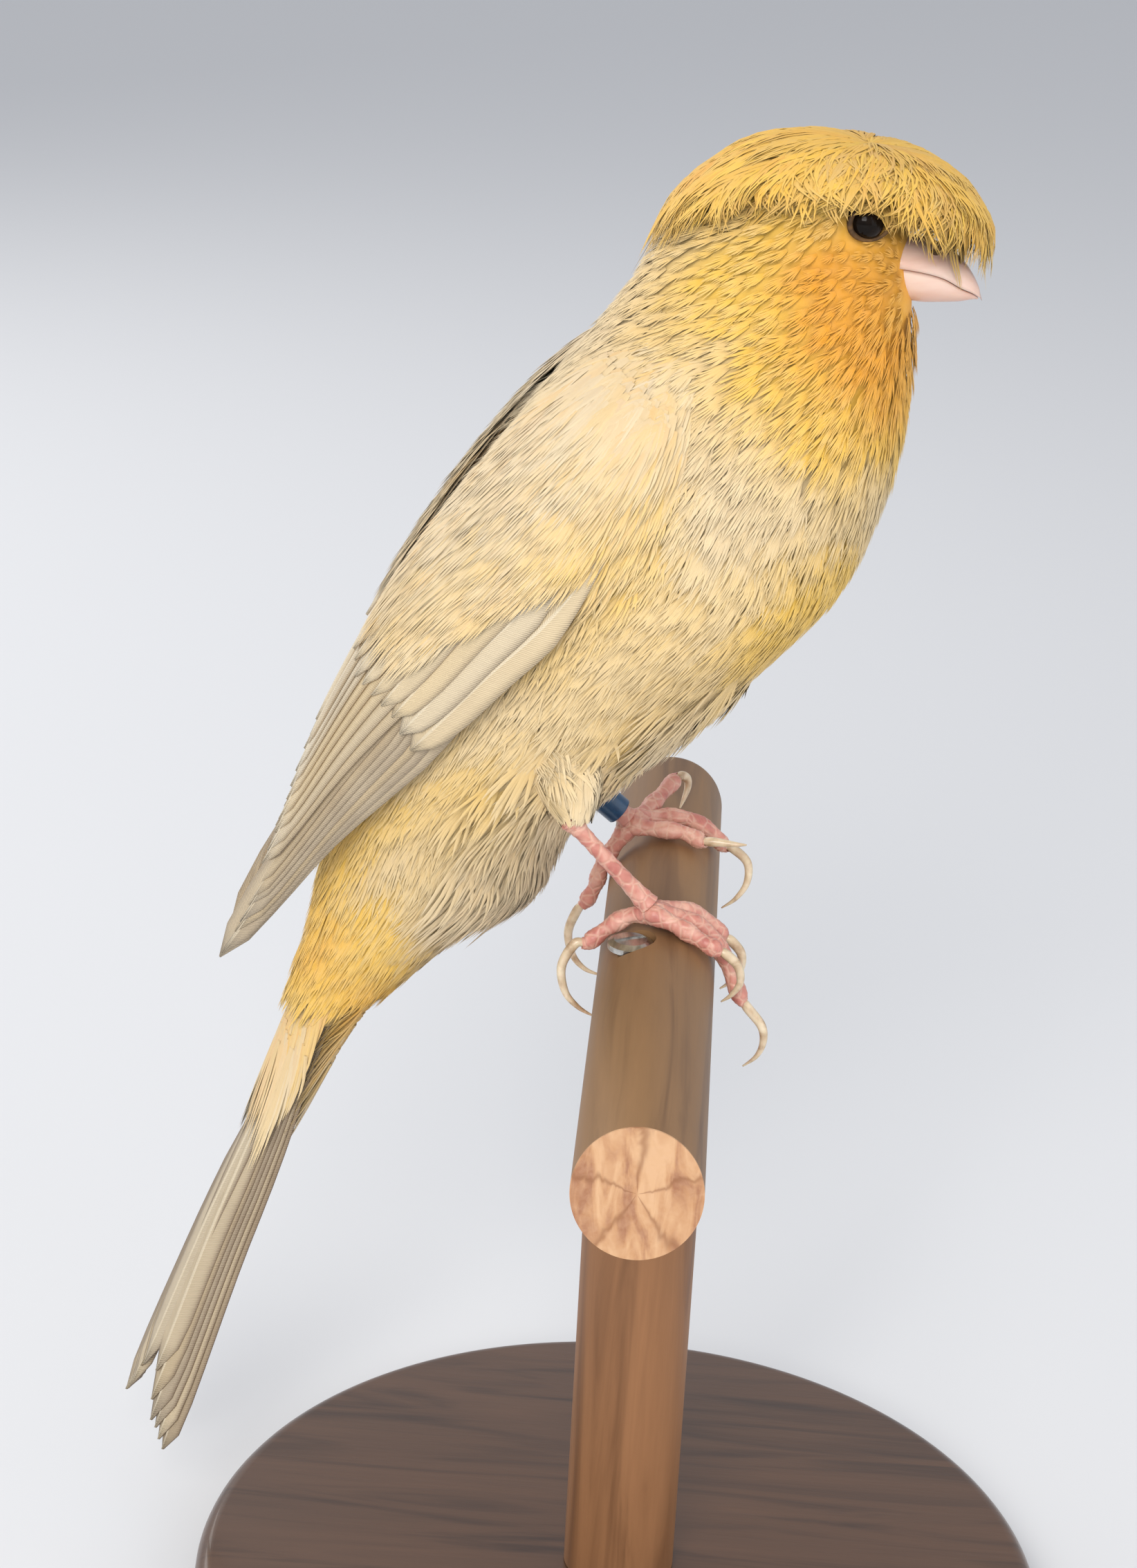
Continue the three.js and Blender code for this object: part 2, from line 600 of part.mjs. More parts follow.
const COLOURS = {
  cream: 0xe9dcb8, ochre: 0xd9a63c, face: 0xeda92a, wing: 0xeadfc2, tail: 0xdccba4, fluff: 0xeadfc6,
  bill: 0xe2b3a2, eye: 0x1a1210, skin: 0xc98578, claw: 0xcbb594, ring: 0x123a5e, wood: 0x9a6f48,
  steel: 0x9a9a98, stand: 0x5b3a24,
}

function finish(colour, roughness = 0.8, metalness = 0) {
  return new THREE.MeshStandardMaterial({ color: colour, roughness, metalness })
}

function addNode(name, solid, material, group = bird) {
  const geometry = solid.isBufferGeometry ? solid : toGeometry(solid)
  const mesh = new THREE.Mesh(geometry, material)
  mesh.name = name
  group.add(mesh)
  return mesh
}

const plumage = finish(COLOURS.cream)
addNode('torso', torsoBody, plumage)
addNode('neck', neckBody, plumage)
const eyes = { left: eye(1), right: eye(-1) }
const eyeRoom = {
  left: ball(mirrored(EYE_CENTRE, 1), EYE_RADIUS + GAP),
  right: ball(mirrored(EYE_CENTRE, -1), EYE_RADIUS + GAP),
}
const head = withEye(withEye(headBody, 1), -1)
addNode('head', head, finish(COLOURS.face))
addNode('eye_left', eyes.left, finish(COLOURS.eye, 0.1))
addNode('eye_right', eyes.right, finish(COLOURS.eye, 0.1))
const horn = finish(COLOURS.bill, 0.35)
const pits = [1, -1].map((side) => ball(mirrored(NOSTRIL.centre, side), NOSTRIL.radius, 8))
addNode('bill_upper', pits.reduce((bill, pit) => bill.subtract(pit), upperBill()).subtract(bodyRoom), horn)
addNode('bill_lower', lowerBill().subtract(bodyRoom), horn)
const crest = join([crestCore(0.5, 0.5, 3.2), ...crestLocks()])
  .subtract(bodyRoom).subtract(eyeRoom.left).subtract(eyeRoom.right).subtract(upperBill(GAP))
  .subtract(lidRim(1, GAP)).subtract(lidRim(-1, GAP))
addNode('crest', crest, finish(COLOURS.ochre))

const leftWing = wing()
const flightFeathers = finish(COLOURS.wing)
addNode('wing_left', leftWing, flightFeathers)
addNode('wing_right', leftWing.mirror([0, 1, 0]), flightFeathers)
addNode('tail', tail(), finish(COLOURS.tail))

for (const [name, leg] of Object.entries(LEGS)) {
  const skin = finish(COLOURS.skin, 0.55)
  const ankle = vector(leg.ankle)
  const tarsus = tarsusPath(leg)
  const hip = vector(leg.hip)
  const downThigh = (share) => hip.clone().lerp(ankle, share)
  const fluffEnd = ankle.clone().lerp(tarsus[2], 0.1)
  const thigh = limb([hip, downThigh(0.4), downThigh(0.78), fluffEnd], THIGH_RADII, { sides: 10 })
  const shank = limb(tarsus, TARSUS_RADII, { sides: 8 })
  const shankRoom = limb(tarsus, TARSUS_RADII.map((r) => r + GAP), { sides: 8 })
  addNode(`thigh_${name}`, thigh.subtract(bodyRoom).subtract(shankRoom), finish(COLOURS.fluff))
  addNode(`tarsus_${name}`, shank, skin)
  addNode(`foot_${name}`, foot(leg).subtract(shankRoom), skin)
  for (const toeName of Object.keys(leg.claws)) {
    addNode(`claw_${toeName}_${name}`, claw(leg, toeName), finish(COLOURS.claw, 0.4))
  }
}

// Leg ring: a plain closed band, loose on the left shank
const RING = { along: 0.76, inner: 1.45, outer: 1.95, length: 4.0 }

function legRing() {
  const [ankle, , footEnd] = tarsusPath(LEGS.left)
  const axis = footEnd.clone().sub(ankle).normalize()
  const half = RING.length / 2
  const geometry = lathe([
    [RING.inner, -half], [RING.outer, -half], [RING.outer, half], [RING.inner, half], [RING.inner, -half],
  ], 20)
  geometry.applyQuaternion(new THREE.Quaternion().setFromUnitVectors(new THREE.Vector3(0, 0, 1), axis))
  const centre = ankle.lerp(footEnd, RING.along)
  geometry.translate(centre.x, centre.y, centre.z)
  return toSolid(geometry)
}
addNode('leg_ring', legRing(), finish(COLOURS.ring, 0.35, 0.4))

// Perch: a round wooden dowel, sawn a little aslant at its near end and rounded at its far end
const SCREW = {
  x: -3.4, y: -18.2, radius: 2.9, top: 7.3, thickness: 1.3, rim: 0.6, dome: 0.14,
  slot: [4.2, 0.8, 0.6], turn: 0.5,
}
const NOSE = 3.2
const SAW_ALLOWANCE = 4

function dowel() {
  const length = PERCH_FAR_Y - PERCH_NEAR_Y + SAW_ALLOWANCE
  const rounding = [10, 30, 60].map((degrees) => {
    const angle = THREE.MathUtils.degToRad(degrees)
    return [PERCH_RADIUS - NOSE + NOSE * Math.cos(angle), length - NOSE + NOSE * Math.sin(angle)]
  })
  const geometry = lathe([
    [0, 0], [PERCH_RADIUS, 0], [PERCH_RADIUS, length - NOSE], ...rounding,
    [PERCH_RADIUS - NOSE, length], [0, length],
  ], 32)
  geometry.rotateX(-Math.PI / 2)
  geometry.translate(0, PERCH_NEAR_Y - SAW_ALLOWANCE, 0)
  const saw = new THREE.BoxGeometry(40, 20, 40)
  saw.translate(0, -10, 0)
  saw.rotateX(-PERCH_CUT_TILT)
  saw.translate(0, PERCH_NEAR_Y, 0)
  const seat = new THREE.CylinderGeometry(SCREW.radius + GAP, SCREW.radius + GAP, 6, 24)
  seat.rotateX(Math.PI / 2)
  seat.translate(SCREW.x, SCREW.y, SCREW.top - SCREW.thickness - GAP + 3)
  return toSolid(geometry).subtract(toSolid(saw)).subtract(toSolid(seat))
}
addNode('perch_dowel', dowel(), finish(COLOURS.wood, 0.7))

function screwHead() {
  const { x, y, radius, top, thickness, rim, dome, slot, turn } = SCREW
  const geometry = lathe([
    [0, -thickness], [radius, -thickness], [radius, -rim], [radius * 0.72, -dome], [0, 0],
  ], 24)
  geometry.translate(x, y, top)
  const groove = new THREE.BoxGeometry(...slot)
  groove.rotateZ(turn)
  groove.translate(x, y, top)
  return toSolid(geometry).subtract(toSolid(groove))
}
addNode('perch_screw', screwHead(), finish(COLOURS.steel, 0.3, 1))

// Stand: a round post coped to the perch, and a turned round base with a softened edge
function post() {
  const geometry = lathe([
    [0, 0], [PERCH_RADIUS, 0], [PERCH_RADIUS, PERCH_HEIGHT], [0, PERCH_HEIGHT],
  ], POST_SIDES)
  geometry.translate(0, POST_Y, BASE_THICKNESS + GAP - PERCH_HEIGHT)
  const perch = new THREE.CylinderGeometry(PERCH_RADIUS + GAP, PERCH_RADIUS + GAP, 60, 48)
  perch.translate(0, POST_Y, 0)
  const above = new THREE.BoxGeometry(40, 40, 40)
  above.translate(0, POST_Y, 20)
  return toSolid(geometry).subtract(toSolid(perch)).subtract(toSolid(above))
}
addNode('stand_post', post(), finish(COLOURS.wood, 0.7))

function base() {
  const top = BASE_THICKNESS
  const geometry = lathe([
    [0, 0], [BASE_RADIUS - 1, 0], [BASE_RADIUS, 1], [BASE_RADIUS, top - BASE_EDGE * 1.4],
    [BASE_RADIUS - BASE_EDGE * 0.3, top - BASE_EDGE * 0.6], [BASE_RADIUS - BASE_EDGE, top], [0, top],
  ], 48)
  geometry.translate(0, POST_Y, -PERCH_HEIGHT)
  return geometry
}
addNode('stand_base', toSolid(base()), finish(COLOURS.stand, 0.4))

export default bird
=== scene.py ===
"""A crested canary on a round wooden perch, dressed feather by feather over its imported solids."""
import logging
import math
from dataclasses import dataclass
from enum import Enum
from typing import Callable, Sequence

import bmesh
import bpy
import numpy as np
from mathutils import Matrix, Vector


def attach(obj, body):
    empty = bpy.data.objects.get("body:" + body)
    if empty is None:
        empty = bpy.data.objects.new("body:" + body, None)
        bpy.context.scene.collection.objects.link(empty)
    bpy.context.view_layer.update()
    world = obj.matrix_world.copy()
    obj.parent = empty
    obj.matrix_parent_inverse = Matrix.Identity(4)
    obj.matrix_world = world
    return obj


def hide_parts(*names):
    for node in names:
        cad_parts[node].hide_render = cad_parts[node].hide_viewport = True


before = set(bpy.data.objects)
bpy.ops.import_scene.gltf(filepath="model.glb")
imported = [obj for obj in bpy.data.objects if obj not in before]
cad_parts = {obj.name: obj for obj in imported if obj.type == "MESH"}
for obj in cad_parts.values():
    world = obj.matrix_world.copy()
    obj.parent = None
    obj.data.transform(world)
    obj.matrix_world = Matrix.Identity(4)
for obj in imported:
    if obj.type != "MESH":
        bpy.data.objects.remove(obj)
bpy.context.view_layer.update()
LOG = logging.getLogger("canary")
Array = np.ndarray
Object = bpy.types.Object
Material = bpy.types.Material
Socket = bpy.types.NodeSocket

# Sizes are in millimetres in the bird's own frame: its origin is on the perch's axis under its
# mid-plane, +X is forward and +Y is the bird's left. The row's frame starts under the post.
MM = 0.001
POST_Y = -14.5
PERCH_HEIGHT = 97.0
PERCH_RADIUS = 7.5
PERCH_NEAR_Y = -71.0
PERCH_CUT_TILT = 0.19
EYE_CENTRE = (18.9, 7.0, 96.9)
EYE_RADIUS = 2.3
HEAD_MIDDLE = np.array([14.0, 0.0, 92.0])
BILL_ROOT = np.array([26.5, 0.0, 90.4])
# A direction that no limb points in, to build axes across one.
ASIDE = np.array([0.31, 0.93, 0.18])
GOLDEN_ANGLE = 2.399963
# The face feathers spread from the bill: its place on the outline, then millimetres for a place,
# for an angle and for how far that way of lying reaches.
FACE_PLACE = 4.0
PLACE_LENGTH = 4.2
HEAD_GIRTH_RADIUS = 11.0
FACE_REACH = 13.0
PATCH_SIZE = 0.003
LENS, SENSOR = 71.43, 36.0


class Side(Enum):
    """The bird's two sides, by the sign of Y."""

    LEFT = 1
    RIGHT = -1

    @property
    def label(self) -> str:
        """The side's name in a piece's name."""
        return self.name.lower()


def to_row(points: Array) -> Array:
    """Bird-frame millimetres as row-frame metres."""
    return (np.asarray(points, float) + np.array([0.0, -POST_Y, PERCH_HEIGHT])) * MM


def unit(vectors: Array) -> Array:
    """Vectors scaled to length one."""
    return vectors / np.maximum(np.linalg.norm(vectors, axis=-1, keepdims=True), 1e-9)


def smooth(low: float, high: float, values: Array) -> Array:
    """A soft step from 0 at low to 1 at high."""
    t = np.clip((values - low) / (high - low), 0, 1)
    return t * t * (3 - 2 * t)


def spline(rows: Array, place: Array) -> Array:
    """A curve through rows of numbers.

    Args:
        rows: the rows, one for each whole place.
        place: places along the rows, fractions included.

    Returns:
        One row of numbers for each place.
    """
    last = len(rows) - 1
    cell = np.clip(np.floor(place).astype(int), 0, last - 1)
    t = (place - cell)[..., None]
    a, b, c, d = (rows[np.clip(cell + k, 0, last)] for k in (-1, 0, 1, 2))
    return 0.5 * (2 * b + (c - a) * t + (2 * a - 5 * b + 4 * c - d) * t ** 2
                  + (3 * b - a - 3 * c + d) * t ** 3)


def left_side(points: Array) -> Array:
    """Points with those of the right side mirrored to the left."""
    return np.stack([points[..., 0], np.abs(points[..., 1]), points[..., 2]], -1)


def axes(along: Array, aside: Array) -> tuple[Array, Array]:
    """Two directions across another one."""
    first = unit(np.cross(along, aside))
    return first, np.cross(along, first)


def choose(*pieces: Object) -> None:
    """Select pieces and nothing else, the last one active."""
    bpy.ops.object.select_all(action="DESELECT")
    for piece in pieces:
        piece.select_set(True)
        bpy.context.view_layer.objects.active = piece


# Meshes from arrays

def new_mesh(name: str, points: Array, faces: Array, tint: Array | None = None,
             uv: Array | None = None) -> Object:
    """A mesh object from arrays, with its tint as a colour attribute and its own bake map.

    Args:
        name: the piece's name.
        points: vertices in bird-frame millimetres.
        faces: rows of three or four vertex numbers.
        tint: four numbers for each vertex: yellow, ochre, tone and the place from root to tip.
        uv: the bake map's two numbers for each vertex.

    Returns:
        The new object, linked to the scene.
    """
    mesh = bpy.data.meshes.new(name)
    size = faces.shape[1]
    mesh.vertices.add(len(points))
    mesh.vertices.foreach_set("co", to_row(points).astype(np.float32).ravel())
    mesh.loops.add(faces.size)
    mesh.loops.foreach_set("vertex_index", faces.astype(np.int32).ravel())
    mesh.polygons.add(len(faces))
    mesh.polygons.foreach_set("loop_start", np.arange(0, faces.size, size, dtype=np.int32))
    mesh.update(calc_edges=True)
    mesh.validate()
    if tint is not None:
        attribute = mesh.color_attributes.new("tint", "FLOAT_COLOR", "POINT")
        attribute.data.foreach_set("color", tint.astype(np.float32).ravel())
    if uv is not None:
        layer = mesh.uv_layers.new(name="OFBake")
        corners = uv[faces]
        wraps = np.ptp(corners[..., 1], axis=1) > 0.5
        corners[..., 1] += wraps[:, None] & (corners[..., 1] < 0.5)
        layer.data.foreach_set("uv", corners.astype(np.float32).ravel())
    mesh.polygons.foreach_set("use_smooth", np.ones(len(faces), bool))
    piece = bpy.data.objects.new(name, mesh)
    bpy.context.scene.collection.objects.link(piece)
    return piece


def tube_faces(rings: int, sides: int) -> Array:
    """Triangles of a closed tube of rings with a point at each end, after its ring vertices."""
    i = np.arange(sides)
    j = (i + 1) % sides
    rows = []
    for r in range(rings - 1):
        a, b, c, d = r * sides + i, r * sides + j, (r + 1) * sides + j, (r + 1) * sides + i
        rows += [np.stack([a, b, c], 1), np.stack([a, c, d], 1)]
    end = (rings - 1) * sides
    rows += [np.stack([np.full(sides, rings * sides), j, i], 1),
             np.stack([np.full(sides, rings * sides + 1), end + i, end + j], 1)]
    return np.concatenate(rows)


def loft(name: str, rings: Array, tip: Array | None = None,
         tint: Callable[[Array], Array] | None = None) -> Object:
    """A closed smooth body through rings of points.

    Args:
        name: the piece's name.
        rings: an array of rings, sides and coordinates.
        tip: the last point, or none for the last ring's middle.
        tint: gives four numbers for each point.

    Returns:
        The new object with its faces outwards.
    """
    count, sides, _ = rings.shape
    end = rings[-1].mean(0) if tip is None else tip
    points = np.concatenate([rings.reshape(-1, 3), rings[0].mean(0)[None], np.asarray(end)[None]])
    u, v = np.meshgrid(np.arange(count) / count, np.arange(sides) / sides, indexing="ij")
    uv = np.concatenate([np.stack([u, v], -1).reshape(-1, 2), [[0.0, 0.5], [1.0, 0.5]]])
    piece = new_mesh(name, points, tube_faces(count, sides), tint(points) if tint else None, uv)
    face_outwards(piece)
    return piece


def face_outwards(piece: Object) -> None:
    """Turn a closed shell's faces outwards."""
    shape = bmesh.new()
    shape.from_mesh(piece.data)
    bmesh.ops.recalc_face_normals(shape, faces=shape.faces)
    if shape.calc_volume(signed=True) < 0:
        bmesh.ops.reverse_faces(shape, faces=shape.faces)
    shape.to_mesh(piece.data)
    shape.free()


def ribbons(name: str, spine: Array, out: Array, width: Array, tint: Array, root_uv: Array,
            thick: float = 0.3) -> Object:
    """Thin closed barbs, each a three-sided blade that ends in a point, joined as one mesh.

    Args:
        name: the piece's name.
        spine: points along each blade, an array of blades, stations and coordinates.
        out: the outward direction at each blade's root.
        width: each blade's full width at each station but the last.
        tint: yellow, ochre and tone for each blade.
        root_uv: each root's place on the unwrapped skin.
        thick: the blade's height for its width.

    Returns:
        The joined mesh.
    """
    blades, stations, _ = spine.shape
    along = unit(np.gradient(spine, axis=1))
    up = out[:, None, :] - along * np.sum(out[:, None, :] * along, -1, keepdims=True)
    up = unit(up)
    side = np.cross(along, up)
    half = width[..., None] / 2
    body = slice(0, stations - 1)
    left = spine[:, body] + side[:, body] * half
    right = spine[:, body] - side[:, body] * half
    ridge = spine[:, body] + up[:, body] * half * 2 * thick
    rings = np.stack([left, ridge, right], 2).reshape(blades, -1, 3)
    points = np.concatenate([rings, spine[:, -1:]], 1)
    per = points.shape[1]
    faces = [[2, 1, 0]]
    for r in range(stations - 2):
        for i in range(3):
            j = (i + 1) % 3
            faces += [[r * 3 + i, r * 3 + j, r * 3 + 3 + j], [r * 3 + i, r * 3 + 3 + j, r * 3 + 3 + i]]
    end = (stations - 2) * 3
    faces += [[end + i, end + (i + 1) % 3, per - 1] for i in range(3)]
    all_faces = (np.array(faces)[None, :, ::-1] + (np.arange(blades) * per)[:, None, None]).reshape(-1, 3)
    reach = np.append(np.repeat(np.linspace(0, 1, stations)[:-1], 3), 1.0)
    across = np.append(np.tile([0.0, 0.5, 1.0], stations - 1), 0.5)
    own = np.stack([np.zeros(blades), np.zeros(blades), 0.17 * np.sin(np.arange(blades) * 12.9898)], 1)
    colour = np.repeat(np.clip(tint + own, 0, 1)[:, None, :], per, 1)
    colour = np.concatenate([colour, np.broadcast_to(reach[None, :, None], (blades, per, 1))], 2)
    patch = np.stack([reach, across], 1) * PATCH_SIZE
    uv = root_uv[:, None, :] * 0.99 + patch[None]
    piece = new_mesh(name, points.reshape(-1, 3), all_faces, colour.reshape(-1, 4), uv.reshape(-1, 2))
    flat = unit(0.68 * out[:, None, :] + 0.32 * up)
    sides = side[:, body] * 0.42
    shaded = np.stack([flat[:, body] + sides, flat[:, body], flat[:, body] - sides],
                      2).reshape(blades, -1, 3)
    shaded = unit(np.concatenate([shaded, flat[:, -1:]], 1))
    piece.data.normals_split_custom_set_from_vertices(shaded.reshape(-1, 3))
    return piece


def vane_plates(name: str, spine: Array, side: Array, out: Array, width: Array, tint: Array, lean: float,
                cup: float) -> Object:
    """Flight-feather vanes as thin closed plates, joined as one mesh.

    Args:
        name: the piece's name.
        spine: the shaft's points, an array of vanes, stations and coordinates.
        side: the direction across at each station.
        out: the outward direction at each station.
        width: the full width at each station.
        tint: yellow, ochre and tone for each vane.
        lean: how far one edge stands above the other, for each millimetre of width.
        cup: how far the edges drop below the shaft, for each millimetre of half width.

    Returns:
        The joined mesh.
    """
    vanes, stations, _ = spine.shape
    columns = np.array([-1.0, -0.55, -0.08, 0.0, 0.08, 0.6, 1.0])
    ridge = np.array([0.0, 0.0, 0.02, 0.16, 0.02, 0.0, 0.0])
    half = width[..., None, None] / 2
    lift = (lean * columns - cup * np.abs(columns) ** 1.5)[None, None, :, None] * half
    base = spine[:, :, None] + side[:, :, None] * half * columns[:, None] + out[:, :, None] * lift
    plate = 0.09
    top = base + out[:, :, None] * (plate + ridge[None, None, :, None])
    low = base - out[:, :, None] * plate
    count = len(columns)
    ring = np.concatenate([top, low[:, :, ::-1]], 2)
    sides = 2 * count
    per = stations * sides + 2
    points = np.concatenate([ring.reshape(vanes, -1, 3), spine[:, :1], spine[:, -1:]], 1)
    faces = tube_faces(stations, sides)
    all_faces = (faces[None] + (np.arange(vanes) * per)[:, None, None]).reshape(-1, 3)
    reach = np.append(np.repeat(np.linspace(0, 1, stations), sides), [0.0, 1.0])
    across = np.concatenate([np.tile(np.concatenate([columns, columns[::-1]]), stations),
                             [0.0, 0.0]]) * 0.5 + 0.5
    colour = np.concatenate([np.repeat(tint[:, None, :], per, 1),
                             np.broadcast_to(across[None, :, None], (vanes, per, 1))], 2)
    cell = int(math.ceil(math.sqrt(vanes)))
    corner = np.stack([np.arange(vanes) % cell, np.arange(vanes) // cell], 1) / cell
    uv = corner[:, None, :] + np.stack([across, reach], 1)[None] * 0.94 / cell
    piece = new_mesh(name, points.reshape(-1, 3), all_faces, colour.reshape(-1, 4), uv.reshape(-1, 2))
    own = piece.data.uv_layers.new(name="vane")
    length = np.linalg.norm(np.diff(spine, axis=1), axis=2).sum(1)
    shaft = np.stack([np.broadcast_to(across[None], (vanes, per)), reach[None] * length[:, None]], 2)
    own.data.foreach_set("uv", shaft.reshape(-1, 2)[all_faces.ravel()].astype(np.float32).ravel())
    face_outwards(piece)
    return piece


# The bird's shape

OUTLINE = np.array([
    [9, 103.4, 17.6, 103.2, 4.2], [3.2, 100.8, 22, 100.3, 7.6], [-1, 97.4, 24.6, 96.6, 9.2],
    [-4.2, 94, 25.9, 92.6, 10.3], [-6.6, 90.4, 26.2, 89, 11.3], [-8.8, 86.4, 26.6, 85.2, 12.6],
    [-12.2, 81.6, 26.7, 79.8, 14.8], [-16.2, 76.2, 26.5, 73.4, 17.2], [-20.4, 70.2, 25.7, 66.4, 19.2],
    [-24.8, 63.6, 23.7, 58.6, 20.4], [-29.2, 56.4, 20.4, 50.2, 20.8], [-33, 49.2, 15.7, 43.9, 20.4],
    [-36.2, 42, 9.4, 37.2, 19.2], [-38.9, 34.8, 2.6, 30.4, 17.6], [-41, 27.4, -4.6, 24, 15.6],
    [-42.6, 20, -10.6, 18.6, 13.4], [-43.8, 12.6, -15, 12.4, 11.2], [-45.2, 5.4, -18.2, 5, 9.2],
    [-46.6, -2, -26, -1.6, 7.4], [-48.8, -10, -33.6, -9, 5.8], [-50.6, -17, -41, -17, 4.2],
], float)
BODY_END = len(OUTLINE) - 1
SKIN_END = np.array([-47.0, 0.0, -17.0])


def body_point(place: Array, angle: Array, grow: float = 0.0) -> Array:
    """A point on the body: its place along the outline and its angle round it, from the front by the left."""
    row = spline(OUTLINE, place)
    back = np.stack([row[..., 0], np.zeros(row.shape[:-1]), row[..., 1]], -1)
    front = np.stack([row[..., 2], np.zeros(row.shape[:-1]), row[..., 3]], -1)
    across = front - back
    depth = np.linalg.norm(across, axis=-1, keepdims=True) / 2
    across = unit(across)
    swing = np.stack([np.zeros(row.shape[:-1]), (row[..., 4] + grow) * np.sin(angle),
                      np.zeros(row.shape[:-1])], -1)
    reach = (depth + np.asarray(grow)[..., None]) * np.cos(angle)[..., None]
    return (back + front) / 2 + across * reach + swing


def surface(point: Callable[..., Array], u: Array, v: Array) -> tuple[Array, Array, Array]:
    """A surface's points with the directions along u and along v."""
    step = 0.02
    du = point(u + step, v) - point(u - step, v)
    dv = point(u, v + step) - point(u, v - step)
    return point(u, v), du / (2 * step), dv / (2 * step)


CREST_MIDDLE = np.array([19.0, 0.0, 104.6])


def crest_point(out: Array, angle: Array, lift: Array | float = 0.0) -> Array:
    """A point on the crest: from its middle, 0, to the fringe, 1, at an angle round it from the front."""
    cos, sin = np.cos(angle), np.sin(angle)
    tip = np.stack([14 + 21.2 * cos, -12.4 * sin, 99.4 - 7.6 * cos * cos], -1)
    back = cos < 0
    share = np.where(back, 0.62, 0.8)
    bulge = np.stack([
        CREST_MIDDLE[0] + (tip[..., 0] - CREST_MIDDLE[0]) * share, tip[..., 1] * 0.86,
        CREST_MIDDLE[2] + np.where(back, 3.4, -1.4) * cos * cos + 0.6], -1)
    t = out[..., None]
    point = CREST_MIDDLE * (1 - t) ** 2 + bulge * 2 * t * (1 - t) + tip * t * t
    outward = unit((point - HEAD_MIDDLE) * np.array([1.0, 1.0, 0.9]))
    return point + outward * np.asarray(lift)[..., None]


WING_BACK = np.array([
    [-10.5, 7.5, 80], [-19.5, 8, 70.2], [-26.8, 7, 60.5], [-33.6, 5, 50], [-39.6, 3.6, 39],
    [-44.6, 3.2, 28], [-49.2, 3.2, 16], [-54.2, 3.4, 3.6], [-58.4, 3.6, -6.6],
], float)
WING_FLANK = np.array([
    [1.5, 18.6, 72], [-4.6, 21.6, 60.5], [-12, 21.8, 49], [-20.6, 20.6, 40.2], [-28.4, 18.4, 31.6],
    [-36.2, 15.4, 23.4], [-43.8, 12.2, 15.2], [-51, 8.6, 5], [-58, 4.6, -6.4],
], float)


def wing_point(along: Array, across: Array, lift: Array | float = 0.0) -> Array:
    """A point on the left wing's outer side: along it from shoulder to tip, and from back to flank."""
    def sheet(u: Array, v: Array) -> Array:
        places = np.clip(u, 0, 1) * (len(WING_BACK) - 1)
        back, flank = spline(WING_BACK, places), spline(WING_FLANK, places)
        corner = np.stack([back[..., 0] * 0.9 + flank[..., 0] * 0.1, flank[..., 1] * 0.97,
                           back[..., 2] * 0.9 + flank[..., 2] * 0.1], -1)
        t = v[..., None]
        return back * (1 - t) ** 2 + corner * 2 * t * (1 - t) + flank * t * t
    step = 0.03
    u, v = np.clip(along, 0.01, 0.98), np.clip(across, 0.01, 0.99)
    ahead = np.minimum(along, 0)[..., None] * (sheet(np.full_like(u, step), across)
                                               - sheet(np.zeros_like(u), across)) / step
    out = unit(np.cross(sheet(u, v + 0.01) - sheet(u, v - 0.01), sheet(u + 0.01, v) - sheet(u - 0.01, v)))
    return sheet(along, across) + ahead + out * np.asarray(lift)[..., None]


TAIL_LINE = np.array([[-40.4, 0, -6], [-46.0, 0, -16], [-52.4, 0, -32], [-58.6, 0, -48], [-64.2, 0, -64],
                      [-70.0, 0, -81]])
TAIL_ROLL = 0.62


def tail_point(along: Array, across: Array, lift: Array | float = 0.0) -> Array:
    """A point on the tail's upper side: along it, and across it from right, -1, to left, 1."""
    reach = np.clip(along, 0, 1)
    places = reach * (len(TAIL_LINE) - 1)
    centre = spline(TAIL_LINE, places)
    tangent = unit(spline(TAIL_LINE, np.clip(places + 0.05, 0, 5))
                   - spline(TAIL_LINE, np.clip(places - 0.05, 0, 5)))
    up = np.stack([tangent[..., 2], np.zeros(reach.shape), -tangent[..., 0]], -1)
    roll = (TAIL_ROLL * np.minimum(1, 0.2 + 1.6 * reach))[..., None]
    left = np.array([0.0, 1.0, 0.0])
    side = left * np.cos(roll) + up * np.sin(roll)
    out = up * np.cos(roll) - left * np.sin(roll)
    half = (4.6 + 2.4 * reach)[..., None]
    high = (np.asarray(lift) - 0.9 * across ** 2)[..., None]
    return centre + side * half * across[..., None] + out * high


# Markings: soft patches of yellow and of deep ochre, each with its place, radius and strength

YELLOW_PATCHES = [
    (20, 88, 12, 1.6), (24, 78, 8, 1.2), (8, 90, 9, 0.8), (-3, 86, 6, 0.35), (-8, 60, 6, 0.75),
    (-3, 68, 5, 0.35),
    (-16, 50, 6, 0.5), (14, 57, 7, 0.5), (21, 55, 5, 0.6), (16, 47, 6, 0.7), (4, 50, 7, 0.35),
    (8, 38, 5, 0.45),
    (-2, 33, 6, 0.4), (-20, 28, 8, 0.35), (-32, 22, 8, 0.4), (-43, 18, 7, 0.9), (-43, 6, 9, 1.3),
    (-42, -6, 8, 1.1),
    (-31, 2, 5, 0.6), (-34, -8, 6, 1.1), (-30, 40, 8, 0.3),
]
OCHRE_PATCHES = [(21, 87, 9, 1.2), (24, 79, 5, 0.7), (15, 92, 6, 0.5), (-44, 2, 7, 0.4), (-34, -8, 5, 0.5)]


